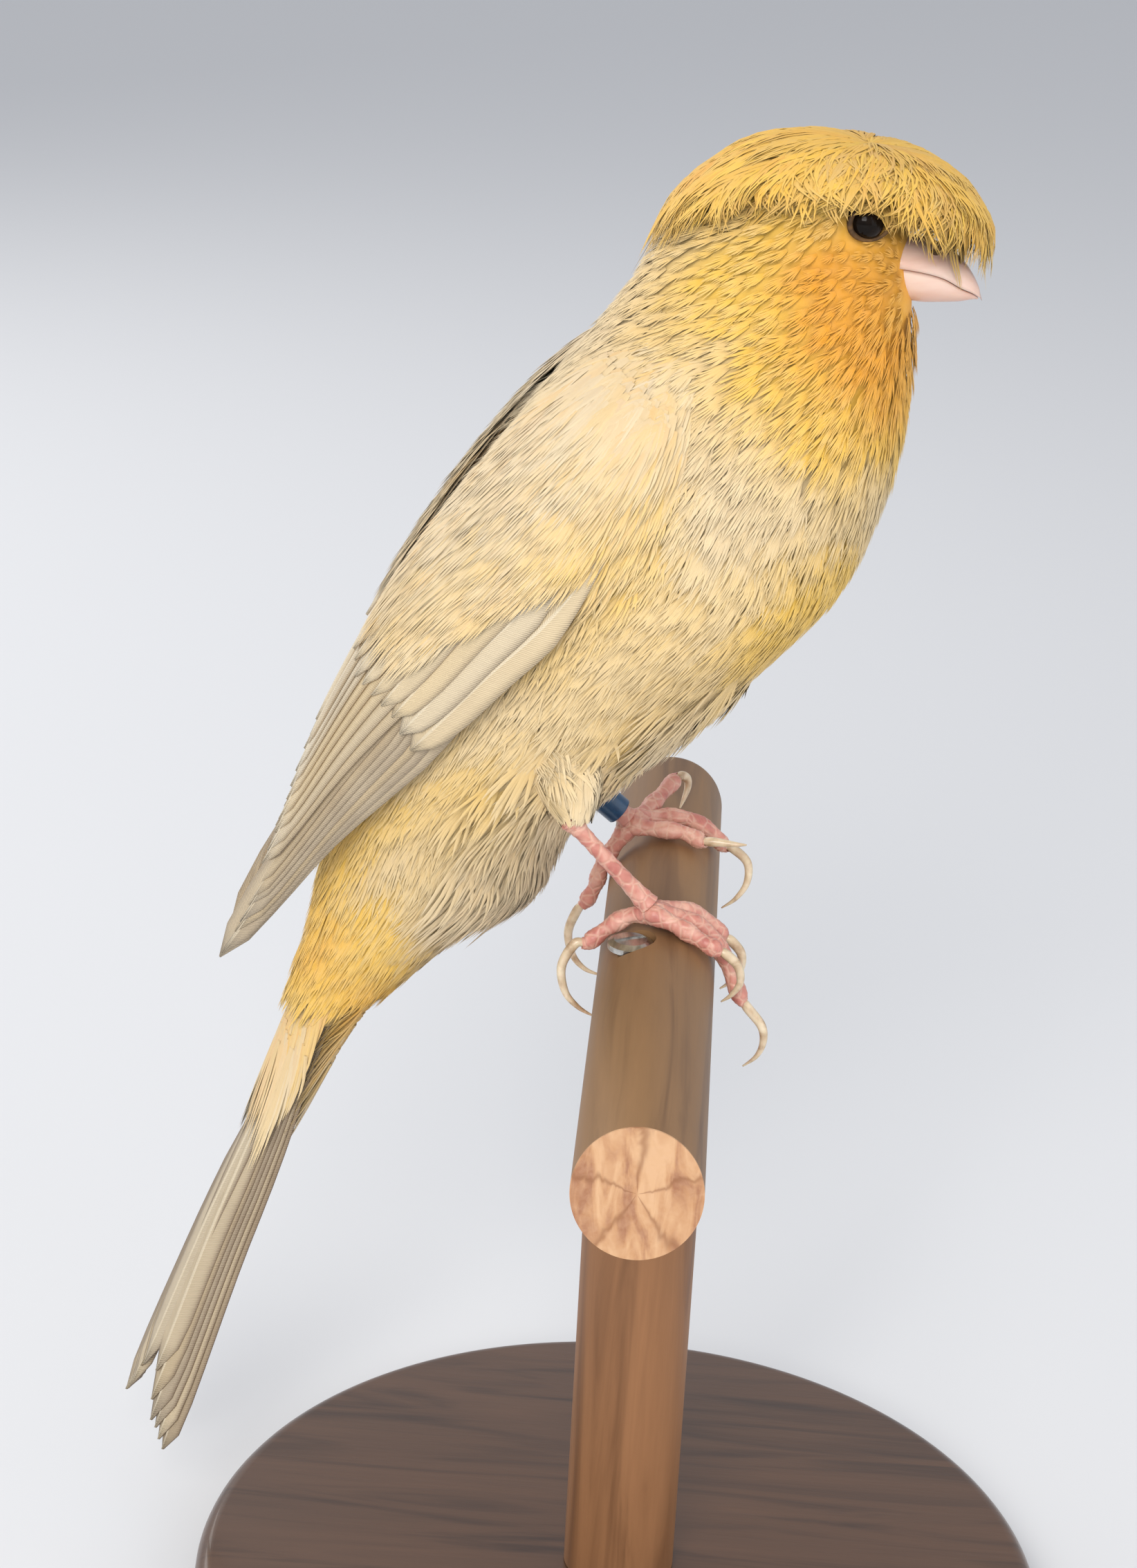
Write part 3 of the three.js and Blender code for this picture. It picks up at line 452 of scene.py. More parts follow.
def ripple(points: Array, scale: float, seed: float) -> Array:
    """Smooth noise about from -1 to 1, from a few crossed waves."""
    p = points / scale
    first = np.sin(p @ np.array([1.0, 0.7, 0.3]) + seed
                   + 1.7 * np.sin(p @ np.array([-0.4, 1.1, 0.9]) + 2 * seed))
    second = np.sin(p @ np.array([-0.6, 0.8, 1.3]) * 1.7 + 3 * seed
                    + 1.3 * np.sin(p @ np.array([1.2, 0.2, -0.7]) * 1.3))
    return 0.6 * first + 0.4 * second


def markings(points: Array) -> Array:
    """Yellow, ochre and tone at points of the plumage."""
    def patches(table: Sequence[tuple[float, float, float, float]]) -> Array:
        total = np.zeros(len(points))
        for x, z, radius, strength in table:
            away = ((points[:, 0] - x) ** 2 + (points[:, 2] - z) ** 2) / radius ** 2
            total += strength * np.exp(-away)
        return total
    streak = ripple(points, 4.2, 1.3)
    yellow = patches(YELLOW_PATCHES) * (1 + 0.45 * streak) + 0.16 + 0.12 * ripple(points, 9.0, 4.0)
    ochre = patches(OCHRE_PATCHES) * (0.9 + 0.3 * streak)
    tone = 0.5 + 0.2 * ripple(points, 6.0, 7.7)
    return np.clip(np.stack([yellow, ochre, tone], 1), 0, 1)


def skin_tint(points: Array) -> Array:
    """The skin's four numbers: the same markings as the coat's, at a feather's root."""
    return np.concatenate([markings(points), np.full((len(points), 1), 0.35)], 1)


# Finishes

@dataclass(frozen=True)
class Finish:
    """A procedural material, built node by node."""

    name: str
    roughness: float = 0.6
    specular: float = 0.4
    sheen: float = 0.0
    coat: float = 0.0
    metallic: float = 0.0
    subsurface: float = 0.0

    def start(self) -> tuple[Material, "Nodes"]:
        """A material with its shader's constant values set, and the maker of its nodes."""
        material = bpy.data.materials.new(self.name)
        material.use_nodes = True
        nodes = Nodes(material.node_tree)
        shader = nodes.shader
        values = {"Roughness": self.roughness, "Specular IOR Level": self.specular,
                  "Sheen Weight": self.sheen,
                  "Coat Weight": self.coat, "Metallic": self.metallic, "Subsurface Weight": self.subsurface,
                  "Subsurface Scale": 0.002}
        for name, value in values.items():
            shader.inputs[name].default_value = value
        return material, nodes


class Nodes:
    """Short ways to add and link a material's nodes."""

    def __init__(self, tree: bpy.types.NodeTree) -> None:
        """Keep the tree and its shader."""
        self.tree = tree
        self.shader = tree.nodes["Principled BSDF"]

    def add(self, kind: str, **values: object) -> bpy.types.Node:
        """A node of a kind, with its settings."""
        node = self.tree.nodes.new(kind)
        for key, value in values.items():
            setattr(node, key, value)
        return node

    def link(self, out: Socket, into: Socket) -> None:
        """Join two sockets."""
        self.tree.links.new(out, into)

    def place(self, scale: Sequence[float], uv: str | None = None) -> Socket:
        """Coordinates, of the object or of one of its maps, stretched by a scale."""
        mapping = self.add("ShaderNodeMapping")
        mapping.inputs["Scale"].default_value = scale
        if uv:
            source = self.add("ShaderNodeUVMap", uv_map=uv).outputs["UV"]
        else:
            source = self.add("ShaderNodeTexCoord").outputs["Object"]
        self.link(source, mapping.inputs["Vector"])
        return mapping.outputs[0]

    def noise(self, where: Socket, scale: float, detail: float = 4.0, distortion: float = 0.0) -> Socket:
        """A noise value."""
        node = self.add("ShaderNodeTexNoise")
        node.inputs["Scale"].default_value = scale
        node.inputs["Detail"].default_value = detail
        node.inputs["Distortion"].default_value = distortion
        self.link(where, node.inputs["Vector"])
        return node.outputs["Fac"]

    def ramp(self, value: Socket, stops: Sequence[tuple[float, Sequence[float]]]) -> Socket:
        """A colour from a value, by stops."""
        node = self.add("ShaderNodeValToRGB")
        elements = node.color_ramp.elements
        while len(elements) < len(stops):
            elements.new(0.5)
        for element, (position, colour) in zip(elements, stops):
            element.position = position
            element.color = (*colour, 1.0)
        self.link(value, node.inputs[0])
        return node.outputs[0]

    def mix(self, value: object, first: object, second: object, blend: str = "MIX") -> Socket:
        """A mix of two colours."""
        node = self.add("ShaderNodeMix", data_type="RGBA", blend_type=blend)
        for item, socket in ((value, node.inputs[0]), (first, node.inputs[6]), (second, node.inputs[7])):
            if isinstance(item, Socket):
                self.link(item, socket)
            elif isinstance(item, (int, float)):
                socket.default_value = item
            else:
                socket.default_value = (*item, 1.0)
        return node.outputs[2]

    def math(self, operation: str, *items: object) -> Socket:
        """A sum on values."""
        node = self.add("ShaderNodeMath", operation=operation)
        for item, socket in zip(items, node.inputs):
            if isinstance(item, Socket):
                self.link(item, socket)
            else:
                socket.default_value = item
        return node.outputs[0]

    def times(self, first: object, second: object) -> Socket:
        """One value times another."""
        return self.math("MULTIPLY", first, second)

    def tint(self) -> list[Socket]:
        """The tint's four numbers."""
        source = self.add("ShaderNodeVertexColor", layer_name="tint")
        parts = self.add("ShaderNodeSeparateColor")
        self.link(source.outputs["Color"], parts.inputs[0])
        return [*parts.outputs, source.outputs["Alpha"]]

    def bump(self, height: Socket, strength: float, distance: float) -> None:
        """Relief on the shader's normal, its depth in metres."""
        node = self.add("ShaderNodeBump")
        node.inputs["Strength"].default_value = strength
        node.inputs["Distance"].default_value = distance
        self.link(height, node.inputs["Height"])
        self.link(node.outputs[0], self.shader.inputs["Normal"])

    def colour(self, socket: Socket) -> None:
        """Set the shader's base colour."""
        self.link(socket, self.shader.inputs["Base Color"])

    def rough(self, value: Socket, low: float, high: float) -> None:
        """Set the shader's roughness between two values."""
        node = self.add("ShaderNodeMapRange")
        node.inputs["To Min"].default_value = low
        node.inputs["To Max"].default_value = high
        self.link(value, node.inputs["Value"])
        self.link(node.outputs[0], self.shader.inputs["Roughness"])


CREAM = (0.80, 0.66, 0.44)
BUFF = (0.56, 0.42, 0.27)
YELLOW = (0.86, 0.53, 0.055)
OCHRE = (0.83, 0.36, 0.012)
TAUPE = (0.26, 0.19, 0.13)
IVORY = (0.84, 0.74, 0.55)


@dataclass(frozen=True)
class Plumage(Finish):
    """Body feathers: cream and buff with yellow and ochre by the coat's own tint."""

    tips: Sequence[float] = CREAM
    base: Sequence[float] = CREAM
    shade: Sequence[float] = BUFF

    def build(self) -> Material:
        """The material."""
        material, nodes = self.start()
        yellow, ochre, tone, reach = nodes.tint()
        fine = nodes.noise(nodes.place((1, 1, 1)), 900.0, 3.0)
        ground = nodes.mix(nodes.times(tone, 0.5), self.base, self.shade)
        coloured = nodes.mix(yellow, ground, YELLOW)
        deep = nodes.mix(ochre, coloured, OCHRE)
        pale = nodes.times(nodes.math("POWER", reach, 2.2),
                           nodes.math("SUBTRACT", 0.34, nodes.times(ochre, 0.3)))
        tipped = nodes.mix(pale, deep, self.tips)
        darkened = nodes.mix(nodes.times(nodes.math("SUBTRACT", 1.0, reach), 0.2), tipped,
                             (0.72, 0.55, 0.32), "MULTIPLY")
        speckled = nodes.mix(nodes.times(fine, 0.12), darkened, (0.9, 0.84, 0.72))
        nodes.colour(speckled)
        nodes.rough(fine, 0.5, 0.75)
        nodes.bump(fine, 0.25, 0.0001)
        return material


@dataclass(frozen=True)
class VaneFinish(Finish):
    """Flight feathers: fine slanting barbs from a pale shaft, with darker margins and patchy grey-brown."""

    ground: Sequence[float] = IVORY
    margin: Sequence[float] = TAUPE
    dark: float = 0.5

    def build(self) -> Material:
        """The material."""
        material, nodes = self.start()
        yellow, grey, tone, across = nodes.tint()
        off = nodes.math("ABSOLUTE", nodes.math("SUBTRACT", across, 0.5))
        barbs = nodes.add("ShaderNodeTexWave", wave_type="BANDS", bands_direction="Y")
        for name, value in {"Scale": 1.1, "Distortion": 2.2, "Detail": 2.0, "Detail Scale": 2.0}.items():
            barbs.inputs[name].default_value = value
        slant = nodes.add("ShaderNodeVectorMath", operation="ADD")
        rise = nodes.add("ShaderNodeCombineXYZ")
        nodes.link(nodes.times(off, 3.4), rise.inputs[1])
        nodes.link(nodes.place((1, 1, 1), "vane"), slant.inputs[0])
        nodes.link(rise.outputs[0], slant.inputs[1])
        nodes.link(slant.outputs[0], barbs.inputs["Vector"])
        patchy = nodes.noise(nodes.place((1, 1, 1)), 140.0, 5.0)
        ground = nodes.mix(nodes.times(tone, 0.4), self.ground, BUFF)
        coloured = nodes.mix(yellow, ground, YELLOW)
        outer = nodes.math("POWER", nodes.times(off, 2.0), 5.0)
        edge = nodes.math("SMOOTH_MIN", nodes.times(outer, self.dark), 1.0, 0.1)
        edged = nodes.mix(edge, coloured, self.margin)
        greyed = nodes.mix(nodes.times(grey, nodes.math("ADD", 0.35, patchy)), edged, self.margin)
        striped = nodes.mix(nodes.times(barbs.outputs["Fac"], 0.22), greyed, (0.62, 0.5, 0.36), "MULTIPLY")
        shaft = nodes.math("LESS_THAN", off, 0.045)
        nodes.colour(nodes.mix(nodes.times(shaft, 0.5), striped, (0.86, 0.76, 0.58)))
        nodes.rough(patchy, 0.42, 0.66)
        nodes.bump(barbs.outputs["Fac"], 0.5, 0.00012)
        return material


@dataclass(frozen=True)
class Blended(Finish):
    """A surface of two or three colours by noise, with fine relief: horn, skin, steel and paint."""

    colours: Sequence[Sequence[float]] = ((0.5, 0.5, 0.5), (0.6, 0.6, 0.6))
    scale: float = 300.0
    stretch: Sequence[float] = (1, 1, 1)
    relief: float = 0.00003
    cells: float = 0.0

    def build(self) -> Material:
        """The material."""
        material, nodes = self.start()
        where = nodes.place(self.stretch)
        value = nodes.noise(where, self.scale, 5.0, 0.4)
        count = len(self.colours)
        stops = [(0.32 + 0.36 * i / (count - 1), colour) for i, colour in enumerate(self.colours)]
        colour = nodes.ramp(value, stops)
        height = value
        if self.cells:
            scales = nodes.add("ShaderNodeTexVoronoi", feature="DISTANCE_TO_EDGE")
            scales.inputs["Scale"].default_value = self.cells
            nodes.link(where, scales.inputs["Vector"])
            groove = nodes.ramp(scales.outputs["Distance"], [(0.0, (0, 0, 0)), (0.14, (1, 1, 1))])
            colour = nodes.mix(nodes.times(nodes.math("SUBTRACT", 1.0, groove), 0.45), colour,
                               (0.84, 0.58, 0.44))
            height = groove
        nodes.colour(colour)
        nodes.rough(value, self.roughness * 0.75, min(1.0, self.roughness * 1.25))
        nodes.bump(height, 0.6, self.relief)
        return material


@dataclass(frozen=True)
class Wood(Finish):
    """Sanded softwood with long grain along one axis, pores and a few darker streaks."""

    pale: Sequence[float] = (0.46, 0.27, 0.13)
    dark: Sequence[float] = (0.19, 0.095, 0.04)
    axis: int = 1
    sawn: bool = False

    def build(self) -> Material:
        """The material."""
        material, nodes = self.start()
        scale = [1.0, 1.0, 1.0]
        scale[self.axis] = 0.09
        where = nodes.place(scale)
        broad = nodes.noise(where, 210.0, 6.0, 1.2)
        fine = nodes.noise(where, 1500.0, 4.0)
        streak = nodes.noise(nodes.place([s * 0.5 for s in scale]), 120.0, 2.0, 2.0)
        colour = nodes.ramp(broad, [(0.3, self.dark), (0.5, self.pale),
                                    (0.72, [c * 1.18 for c in self.pale])])
        worn = nodes.mix(nodes.times(streak, 0.5), colour, self.dark)
        aged = nodes.mix(nodes.times(fine, 0.35), worn, [c * 0.55 for c in self.pale])
        nodes.colour(self.sawn_end(nodes, aged) if self.sawn else aged)
        nodes.rough(broad, self.roughness * 0.8, self.roughness * 1.2)
        nodes.bump(fine, 0.4, 0.00006)
        return material

    @staticmethod
    def sawn_end(nodes: Nodes, side: Socket) -> Socket:
        """The near end's paler colour, with growth bands, torn fibres and cracks from its middle."""
        where = nodes.place((1, 1, 1))
        place = nodes.add("ShaderNodeSeparateXYZ")
        nodes.link(where, place.inputs[0])
        across, along, high = place.outputs
        height = nodes.math("SUBTRACT", high, PERCH_HEIGHT * MM)
        depth = nodes.math("ADD", nodes.math("SUBTRACT", along, (PERCH_NEAR_Y - POST_Y) * MM),
                           nodes.times(height, -math.tan(PERCH_CUT_TILT)))
        face = nodes.math("LESS_THAN", depth, 0.00025)
        bands = nodes.noise(nodes.place((1.0, 1.0, 0.22)), 420.0, 3.0, 1.0)
        torn = nodes.noise(where, 1300.0, 6.0, 0.8)
        colour = nodes.ramp(bands, [(0.36, (0.30, 0.11, 0.045)), (0.5, (0.50, 0.25, 0.11)),
                                    (0.66, (0.64, 0.38, 0.20))])
        colour = nodes.mix(nodes.times(torn, 0.45), colour, (0.70, 0.46, 0.30))
        turn = nodes.math("ARCTAN2", height, across)
        wave = nodes.math("SINE", nodes.math("ADD", nodes.times(turn, 2.5), nodes.times(bands, 1.5)))
        cracks = nodes.math("POWER", nodes.math("ABSOLUTE", wave), 60.0)
        colour = nodes.mix(nodes.times(cracks, 0.6), colour, (0.25, 0.10, 0.04))
        return nodes.mix(face, side, colour)


class Finishes:
    """Every finish of the model, each made once."""

    def __init__(self) -> None:
        """Build the materials."""
        self.body = Plumage("body_feathers", 0.62, 0.16, sheen=0.06).build()
        self.crest = Plumage("crest_feathers", 0.55, 0.2, sheen=0.05, tips=(0.86, 0.62, 0.26),
                             base=(0.74, 0.46, 0.11), shade=(0.50, 0.26, 0.04)).build()
        self.fluff = Plumage("leg_fluff", 0.7, 0.2, sheen=0.1, tips=(0.88, 0.78, 0.6),
                             base=(0.81, 0.69, 0.49)).build()
        self.wing = VaneFinish("wing_vanes", 0.5, 0.35, sheen=0.15).build()
        self.tail = VaneFinish("tail_vanes", 0.5, 0.35, dark=0.9, ground=(0.76, 0.66, 0.48)).build()
        self.bill = Blended("bill_horn", 0.3, 0.5, coat=0.35, subsurface=0.12, scale=160.0,
                            stretch=(0.4, 1, 1),
                            colours=((0.60, 0.33, 0.25), (0.74, 0.47, 0.37), (0.82, 0.60, 0.50))).build()
        self.eye = Blended("eye_wet", 0.06, 0.12, scale=200.0, relief=0.000001,
                           colours=((0.006, 0.004, 0.003), (0.02, 0.011, 0.006))).build()
        self.lid = Blended("lid_skin", 0.6, 0.3, scale=900.0,
                           colours=((0.035, 0.018, 0.008), (0.16, 0.08, 0.025))).build()
        self.leg = Blended("leg_scales", 0.42, 0.45, subsurface=0.1, scale=420.0, relief=0.00012,
                           cells=620.0,
                           colours=((0.50, 0.17, 0.14), (0.64, 0.28, 0.22), (0.74, 0.42, 0.33))).build()
        self.claw = Blended("claw_horn", 0.32, 0.5, coat=0.2, subsurface=0.1, scale=500.0,
                            colours=((0.40, 0.26, 0.15), (0.66, 0.52, 0.35), (0.80, 0.68, 0.50))).build()
        self.ring = Blended("ring_blue", 0.34, 0.5, coat=0.4, scale=900.0,
                            colours=((0.004, 0.045, 0.12), (0.008, 0.07, 0.17))).build()
        self.steel = Blended("screw_steel", 0.3, 0.5, metallic=1.0, scale=1200.0, stretch=(1, 0.2, 1),
                             colours=((0.34, 0.33, 0.31), (0.62, 0.61, 0.58))).build()
        self.perch = Wood("perch_wood", 0.5, 0.35, sawn=True, pale=(0.33, 0.185, 0.085),
                          dark=(0.14, 0.07, 0.032)).build()
        self.post = Wood("post_wood", 0.5, 0.35, axis=2, pale=(0.36, 0.17, 0.075),
                         dark=(0.17, 0.075, 0.032)).build()
        self.base = Wood("base_wood", 0.32, 0.45, coat=0.3, axis=0, pale=(0.115, 0.055, 0.028),
                         dark=(0.04, 0.018, 0.009)).build()


def dress(piece: Object, material: Material, slot: str, *nodes: str) -> Object:
    """Give a piece its finish and its body, and let it stand for its nodes."""
    piece.data.materials.clear()
    piece.data.materials.append(material)
    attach(piece, "root")
    if nodes:
        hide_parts(*nodes)
    LOG.info("%s: %d faces", piece.name, len(piece.data.polygons))
    return piece


# Body, coat and crest

def skin_uv(place: Array, angle: Array) -> Array:
    """The skin's bake map at a place along the body and an angle round it."""
    return np.stack([place / (BODY_END + 1), np.mod(angle / math.tau, 1.0)], -1)


@dataclass
class Skin:
    """The bird's body under its coat, as one piece with its thighs; the lids of its eyes are pieces of their
    own.
    """

    finishes: Finishes
    inset: float = 0.9
    rings: int = 84
    sides: int = 72

    def build(self) -> None:
        """Make the skin and the lids."""
        place = np.linspace(0.15, BODY_END - 0.3, self.rings)[:, None] * np.ones(self.sides)
        angle = np.arange(self.sides) / self.sides * math.tau * np.ones((self.rings, 1))
        body = loft("skin", body_point(place, angle, -self.inset), SKIN_END, skin_tint)
        for side in Side:
            choose(self.thigh(side), body)
            bpy.ops.object.join()
        dress(body, self.finishes.body, "plumage", "torso", "neck", "head", "thigh_left", "thigh_right")
        for side in Side:
            self.lid(side)

    def thigh(self, side: Side) -> Object:
        """A thigh's flesh, from the hip to the top of the shank."""
        rings = limb_rings(THIGHS[side], [4.2, 4.6, 4.4, 3.4, 2.2, 1.5], 28)
        return loft(f"thigh_flesh_{side.name}", rings, tint=skin_tint)

    def lid(self, side: Side) -> None:
        """The thin dark ring of skin round an eye."""
        count = 56
        around = np.arange(count) / count * math.tau
        bead = np.arange(10) / 10 * math.tau
        centre = np.array(EYE_CENTRE) + np.array([0.55, 1.15, 0.1])
        a, b = np.meshgrid(around, bead, indexing="ij")
        thick = 0.3 + 0.05 * np.sin(a * 2 + 0.6)
        flat = np.stack([(2.38 + thick * np.cos(b)) * np.cos(a) * 1.12, thick * np.sin(b) * 0.9,
                         (2.38 + thick * np.cos(b)) * np.sin(a) * 0.86], -1)
        turn = 0.42
        turned = np.stack([flat[..., 0] * math.cos(turn) + flat[..., 1] * math.sin(turn),
                           flat[..., 1] * math.cos(turn) - flat[..., 0] * math.sin(turn),
                           flat[..., 2]], -1) + centre
        turned[..., 1] *= side.value
        i, j = np.meshgrid(np.arange(count), np.arange(10), indexing="ij")
        faces = np.stack([i * 10 + j, (i + 1) % count * 10 + j, (i + 1) % count * 10 + (j + 1) % 10,
                          i * 10 + (j + 1) % 10], -1)
        ring = new_mesh(f"lid_{side.label}", turned.reshape(-1, 3), faces.reshape(-1, 4))
        face_outwards(ring)
        dress(ring, self.finishes.lid, "plumage", "head")


THIGHS = {
    Side.RIGHT: np.array([[-16, -8, 38], [-14, -10.5, 32], [-12.4, -12.4, 26], [-11, -14.2, 20.6]]),
    Side.LEFT: np.array([[-20, 7, 36], [-18, 9.5, 30], [-17.2, 11.6, 24.6], [-16.5, 13.4, 19.8]]),
}


def limb_rings(path: Array, radii: Sequence[float], sides: int, rings: int = 24) -> Array:
    """Rings round a path, their radii through a list of values."""
    t = np.linspace(0, 1, rings)
    centre = spline(path, t * (len(path) - 1))
    tangent = unit(np.gradient(centre, axis=0))
    radius = spline(np.array(radii, float)[:, None], t * (len(radii) - 1))
    first, second = axes(tangent, ASIDE)
    around = np.arange(sides) / sides * math.tau
    cos, sin = np.cos(around)[:, None], np.sin(around)[:, None]
    circle = first[:, None] * cos + second[:, None] * sin
    return centre[:, None] + circle * radius[:, None]


class Coat:
    """Feathers as fans of barbs that lie along the body, each fan sharing its root and its tint."""

    LENGTHS = ([0, 2.5, 4.5, 7, 10, 14, 17, 21], [3.2, 2.4, 2.8, 4.8, 6.8, 7.8, 8.2, 7.6])

    def __init__(self, finishes: Finishes, seed: int = 11) -> None:
        """Keep the finishes and start the coat's own random numbers."""
        self.finishes = finishes
        self.random = np.random.default_rng(seed)
        u, v = np.meshgrid(np.linspace(0.1, 0.9, 40), np.linspace(0.06, 0.84, 14), indexing="ij")
        wing = wing_point(u, v, -0.4).reshape(-1, 3)
        self.wings = np.concatenate([wing, wing * [1, -1, 1]])

    def roots(self, spacing: float) -> tuple[Array, Array]:
        """Places and angles of feather roots, evenly spread over the body."""
        places, angles = [], []
        line = np.linspace(0.1, BODY_END - 1.2, 400)
        middle = body_point(line, np.full(400, math.pi / 2))
        run = np.concatenate([[0], np.cumsum(np.linalg.norm(np.diff(middle, axis=0), axis=1))])
        rows = int(run[-1] / spacing)
        for r in range(rows):
            place = float(np.interp((r + 0.5) * spacing, run, line))
            ring = body_point(np.full(48, place), np.arange(48) / 48 * math.tau)
            girth = np.linalg.norm(np.diff(np.concatenate([ring, ring[:1]]), axis=0), axis=1).sum()
            count = max(8, int(girth / spacing))
            angles.append((np.arange(count) + 0.5 * (r % 2)) / count * math.tau)
            places.append(np.full(count, place))
        place, angle = np.concatenate(places), np.concatenate(angles)
        place = place + self.random.uniform(-0.1, 0.1, len(place))
        angle = angle + self.random.uniform(-0.05, 0.05, len(angle))
        return np.clip(place, 0.05, BODY_END - 0.6), angle

    def wing_distance(self, points: Array) -> Array:
        """How far points are from the covered part of either wing."""
        away = np.full(len(points), np.inf)
        for start in range(0, len(self.wings), 200):
            part = self.wings[start:start + 200]
            away = np.minimum(away, np.linalg.norm(points[:, None] - part[None], axis=2).min(1))
        return away

    def clear(self, points: Array, away: Array) -> Array:
        """Which roots are bare: under a wing, at an eye or in the bill's base."""
        eye = np.linalg.norm(left_side(points) - EYE_CENTRE, axis=1)
        bill = np.linalg.norm((points - BILL_ROOT) * [0.8, 1, 1], axis=1)
        return (away < 2.3) | (eye < 2.9) | (bill < 4.9)

    def lie(self, place: Array, angle: Array) -> Array:
        """The way the feathers lie, as millimetres along and round the body, in unit length."""
        down = (place - FACE_PLACE) * PLACE_LENGTH
        turned = (angle + math.pi) % math.tau - math.pi
        round_ = turned * HEAD_GIRTH_RADIUS
        from_bill = unit(np.stack([down, round_], -1))
        near = np.exp(-(down ** 2 + round_ ** 2) / FACE_REACH ** 2)[:, None]
        head = 1 - smooth(4.5, 9.0, place)
        plain = unit(np.stack([1 - 0.35 * head, 0.9 * head * np.sin(angle)], -1))
        return unit(near * from_bill + (1 - near) * plain)

    def fans(self, place: Array, angle: Array, rise: Array, barbs: int, stations: int, spread: float,
             scale: float = 1.0) -> dict[str, Array]:
        """Fans of barbs from roots on the body.

        Args:
            place: each root's place along the body.
            angle: each root's angle round it.
            rise: how far each fan's tips stand off, in millimetres.
            barbs: how many barbs a fan has.
            stations: how many points a barb has.
            spread: the fan's half width for its length.
            scale: the fans' length for the coat's usual one.

        Returns:
            The arrays that ribbons takes.
        """
        count = len(place)
        root, along, round_ = surface(body_point, place, angle)
        out = unit(np.cross(round_, along))
        middle = (body_point(place, np.zeros(count)) + body_point(place, np.full(count, math.pi))) / 2
        out *= np.sign(np.sum(out * (root - middle), -1))[:, None]
        length = scale * np.interp(place, *self.LENGTHS) * self.random.uniform(0.82, 1.2, count)
        way = self.lie(place, angle)
        swirl = 0.16 * ripple(root, 7.0, 2.2)
        way = np.stack([way[:, 0] * np.cos(swirl) - way[:, 1] * np.sin(swirl),
                        way[:, 0] * np.sin(swirl) + way[:, 1] * np.cos(swirl)], -1)
        offset = np.linspace(-1, 1, barbs)[None] + self.random.uniform(-0.18, 0.18, (count, barbs))
        t = np.linspace(0, 1, stations)
        shape = np.sin(np.clip(t * 1.25 + 0.12, 0, math.pi / 2))
        bend = self.random.normal(0, 0.06, (count, barbs))
        reach = 1 - 0.32 * offset ** 2 + self.random.uniform(-0.1, 0.08, (count, barbs))
        ahead = length[:, None, None] * reach[..., None] * t
        aside = length[:, None, None] * (spread * offset[..., None] * shape + bend[..., None] * t ** 2)
        x = way[:, 0, None, None] * ahead - way[:, 1, None, None] * aside
        y = way[:, 1, None, None] * ahead + way[:, 0, None, None] * aside
        du = np.linalg.norm(along, axis=1)[:, None, None]
        dv = np.linalg.norm(round_, axis=1)[:, None, None]
        crown = 0.75 + 0.35 * (1 - offset[..., None] ** 2)
        puff = self.random.uniform(0.7, 1.15, count)[:, None, None] * crown
        grow = -0.75 + puff * t ** 0.8 + self.random.normal(0, 0.06, (count, barbs))[..., None] * t
        grow = grow + rise[:, None, None] * t
        points = body_point(np.clip(place[:, None, None] + x / du, -0.6, BODY_END),
                            angle[:, None, None] + y / dv, grow)
        width = (0.06 * length[:, None, None] + 0.09) * (1.0 - 0.62 * t[:-1]) * np.ones((count, barbs, 1))
        tint = markings(root)
        tint[:, 2] = np.clip(tint[:, 2] + self.random.normal(0, 0.09, count), 0, 1)
        tint[:, 0] = np.clip(tint[:, 0] * self.random.uniform(0.85, 1.15, count), 0, 1)
        def each(values: Array) -> Array:
            return np.repeat(values, barbs, 0)
        return {"spine": points.reshape(count * barbs, stations, 3), "out": each(out),
                "width": width.reshape(count * barbs, -1), "tint": each(tint),
                "root_uv": each(skin_uv(place, angle))}

    def build(self) -> None:
        """Cover the body, the thighs and the vent."""
        place, angle = self.roots(1.62)
        points = body_point(place, angle)
        away = self.wing_distance(points)
        keep = ~self.clear(points, away)
        place, angle, away = place[keep], angle[keep], away[keep]
        nape = (1 - smooth(2.0, 4.0, place)) * (np.cos(angle) < 0.55)
        rise = 3.3 * np.exp(-(away / 4.2) ** 2) + 0.8 * nape
        self.pieces("coat", self.fans(place, angle, rise, 9, 4, 0.26), self.finishes.body,
                    ("torso", "neck", "head"))
        self.vent()
        for side in Side:
            self.thigh(side)

    def vent(self, count: int = 420) -> None:
        """Long loose pale feathers at the vent, with ragged ends."""
        place = self.random.uniform(11.5, 16.5, count)
        angle = self.random.normal(0, 0.55, count)
        parts = self.fans(place, angle, self.random.uniform(0.3, 2.4, count), 9, 5, 0.2, 1.45)
        self.pieces("vent_fluff", parts, self.finishes.fluff, ("torso",))

    def pieces(self, name: str, parts: dict[str, Array], material: Material, nodes: Sequence[str],
               limit: int = 12000) -> None:
        """Make barbs as pieces of a limited size."""
        seen = np.linalg.norm((left_side(parts["spine"]) - EYE_CENTRE) * [1.0, 0.3, 1.42],
                              axis=2).min(1) > 2.05
        parts = {key: value[seen] for key, value in parts.items()}
        total = len(parts["spine"])
        for i in range(math.ceil(total / limit)):
            part = {key: value[i * limit:(i + 1) * limit] for key, value in parts.items()}
            dress(ribbons(f"{name}_{i + 1}", **part), material, "plumage", *nodes)

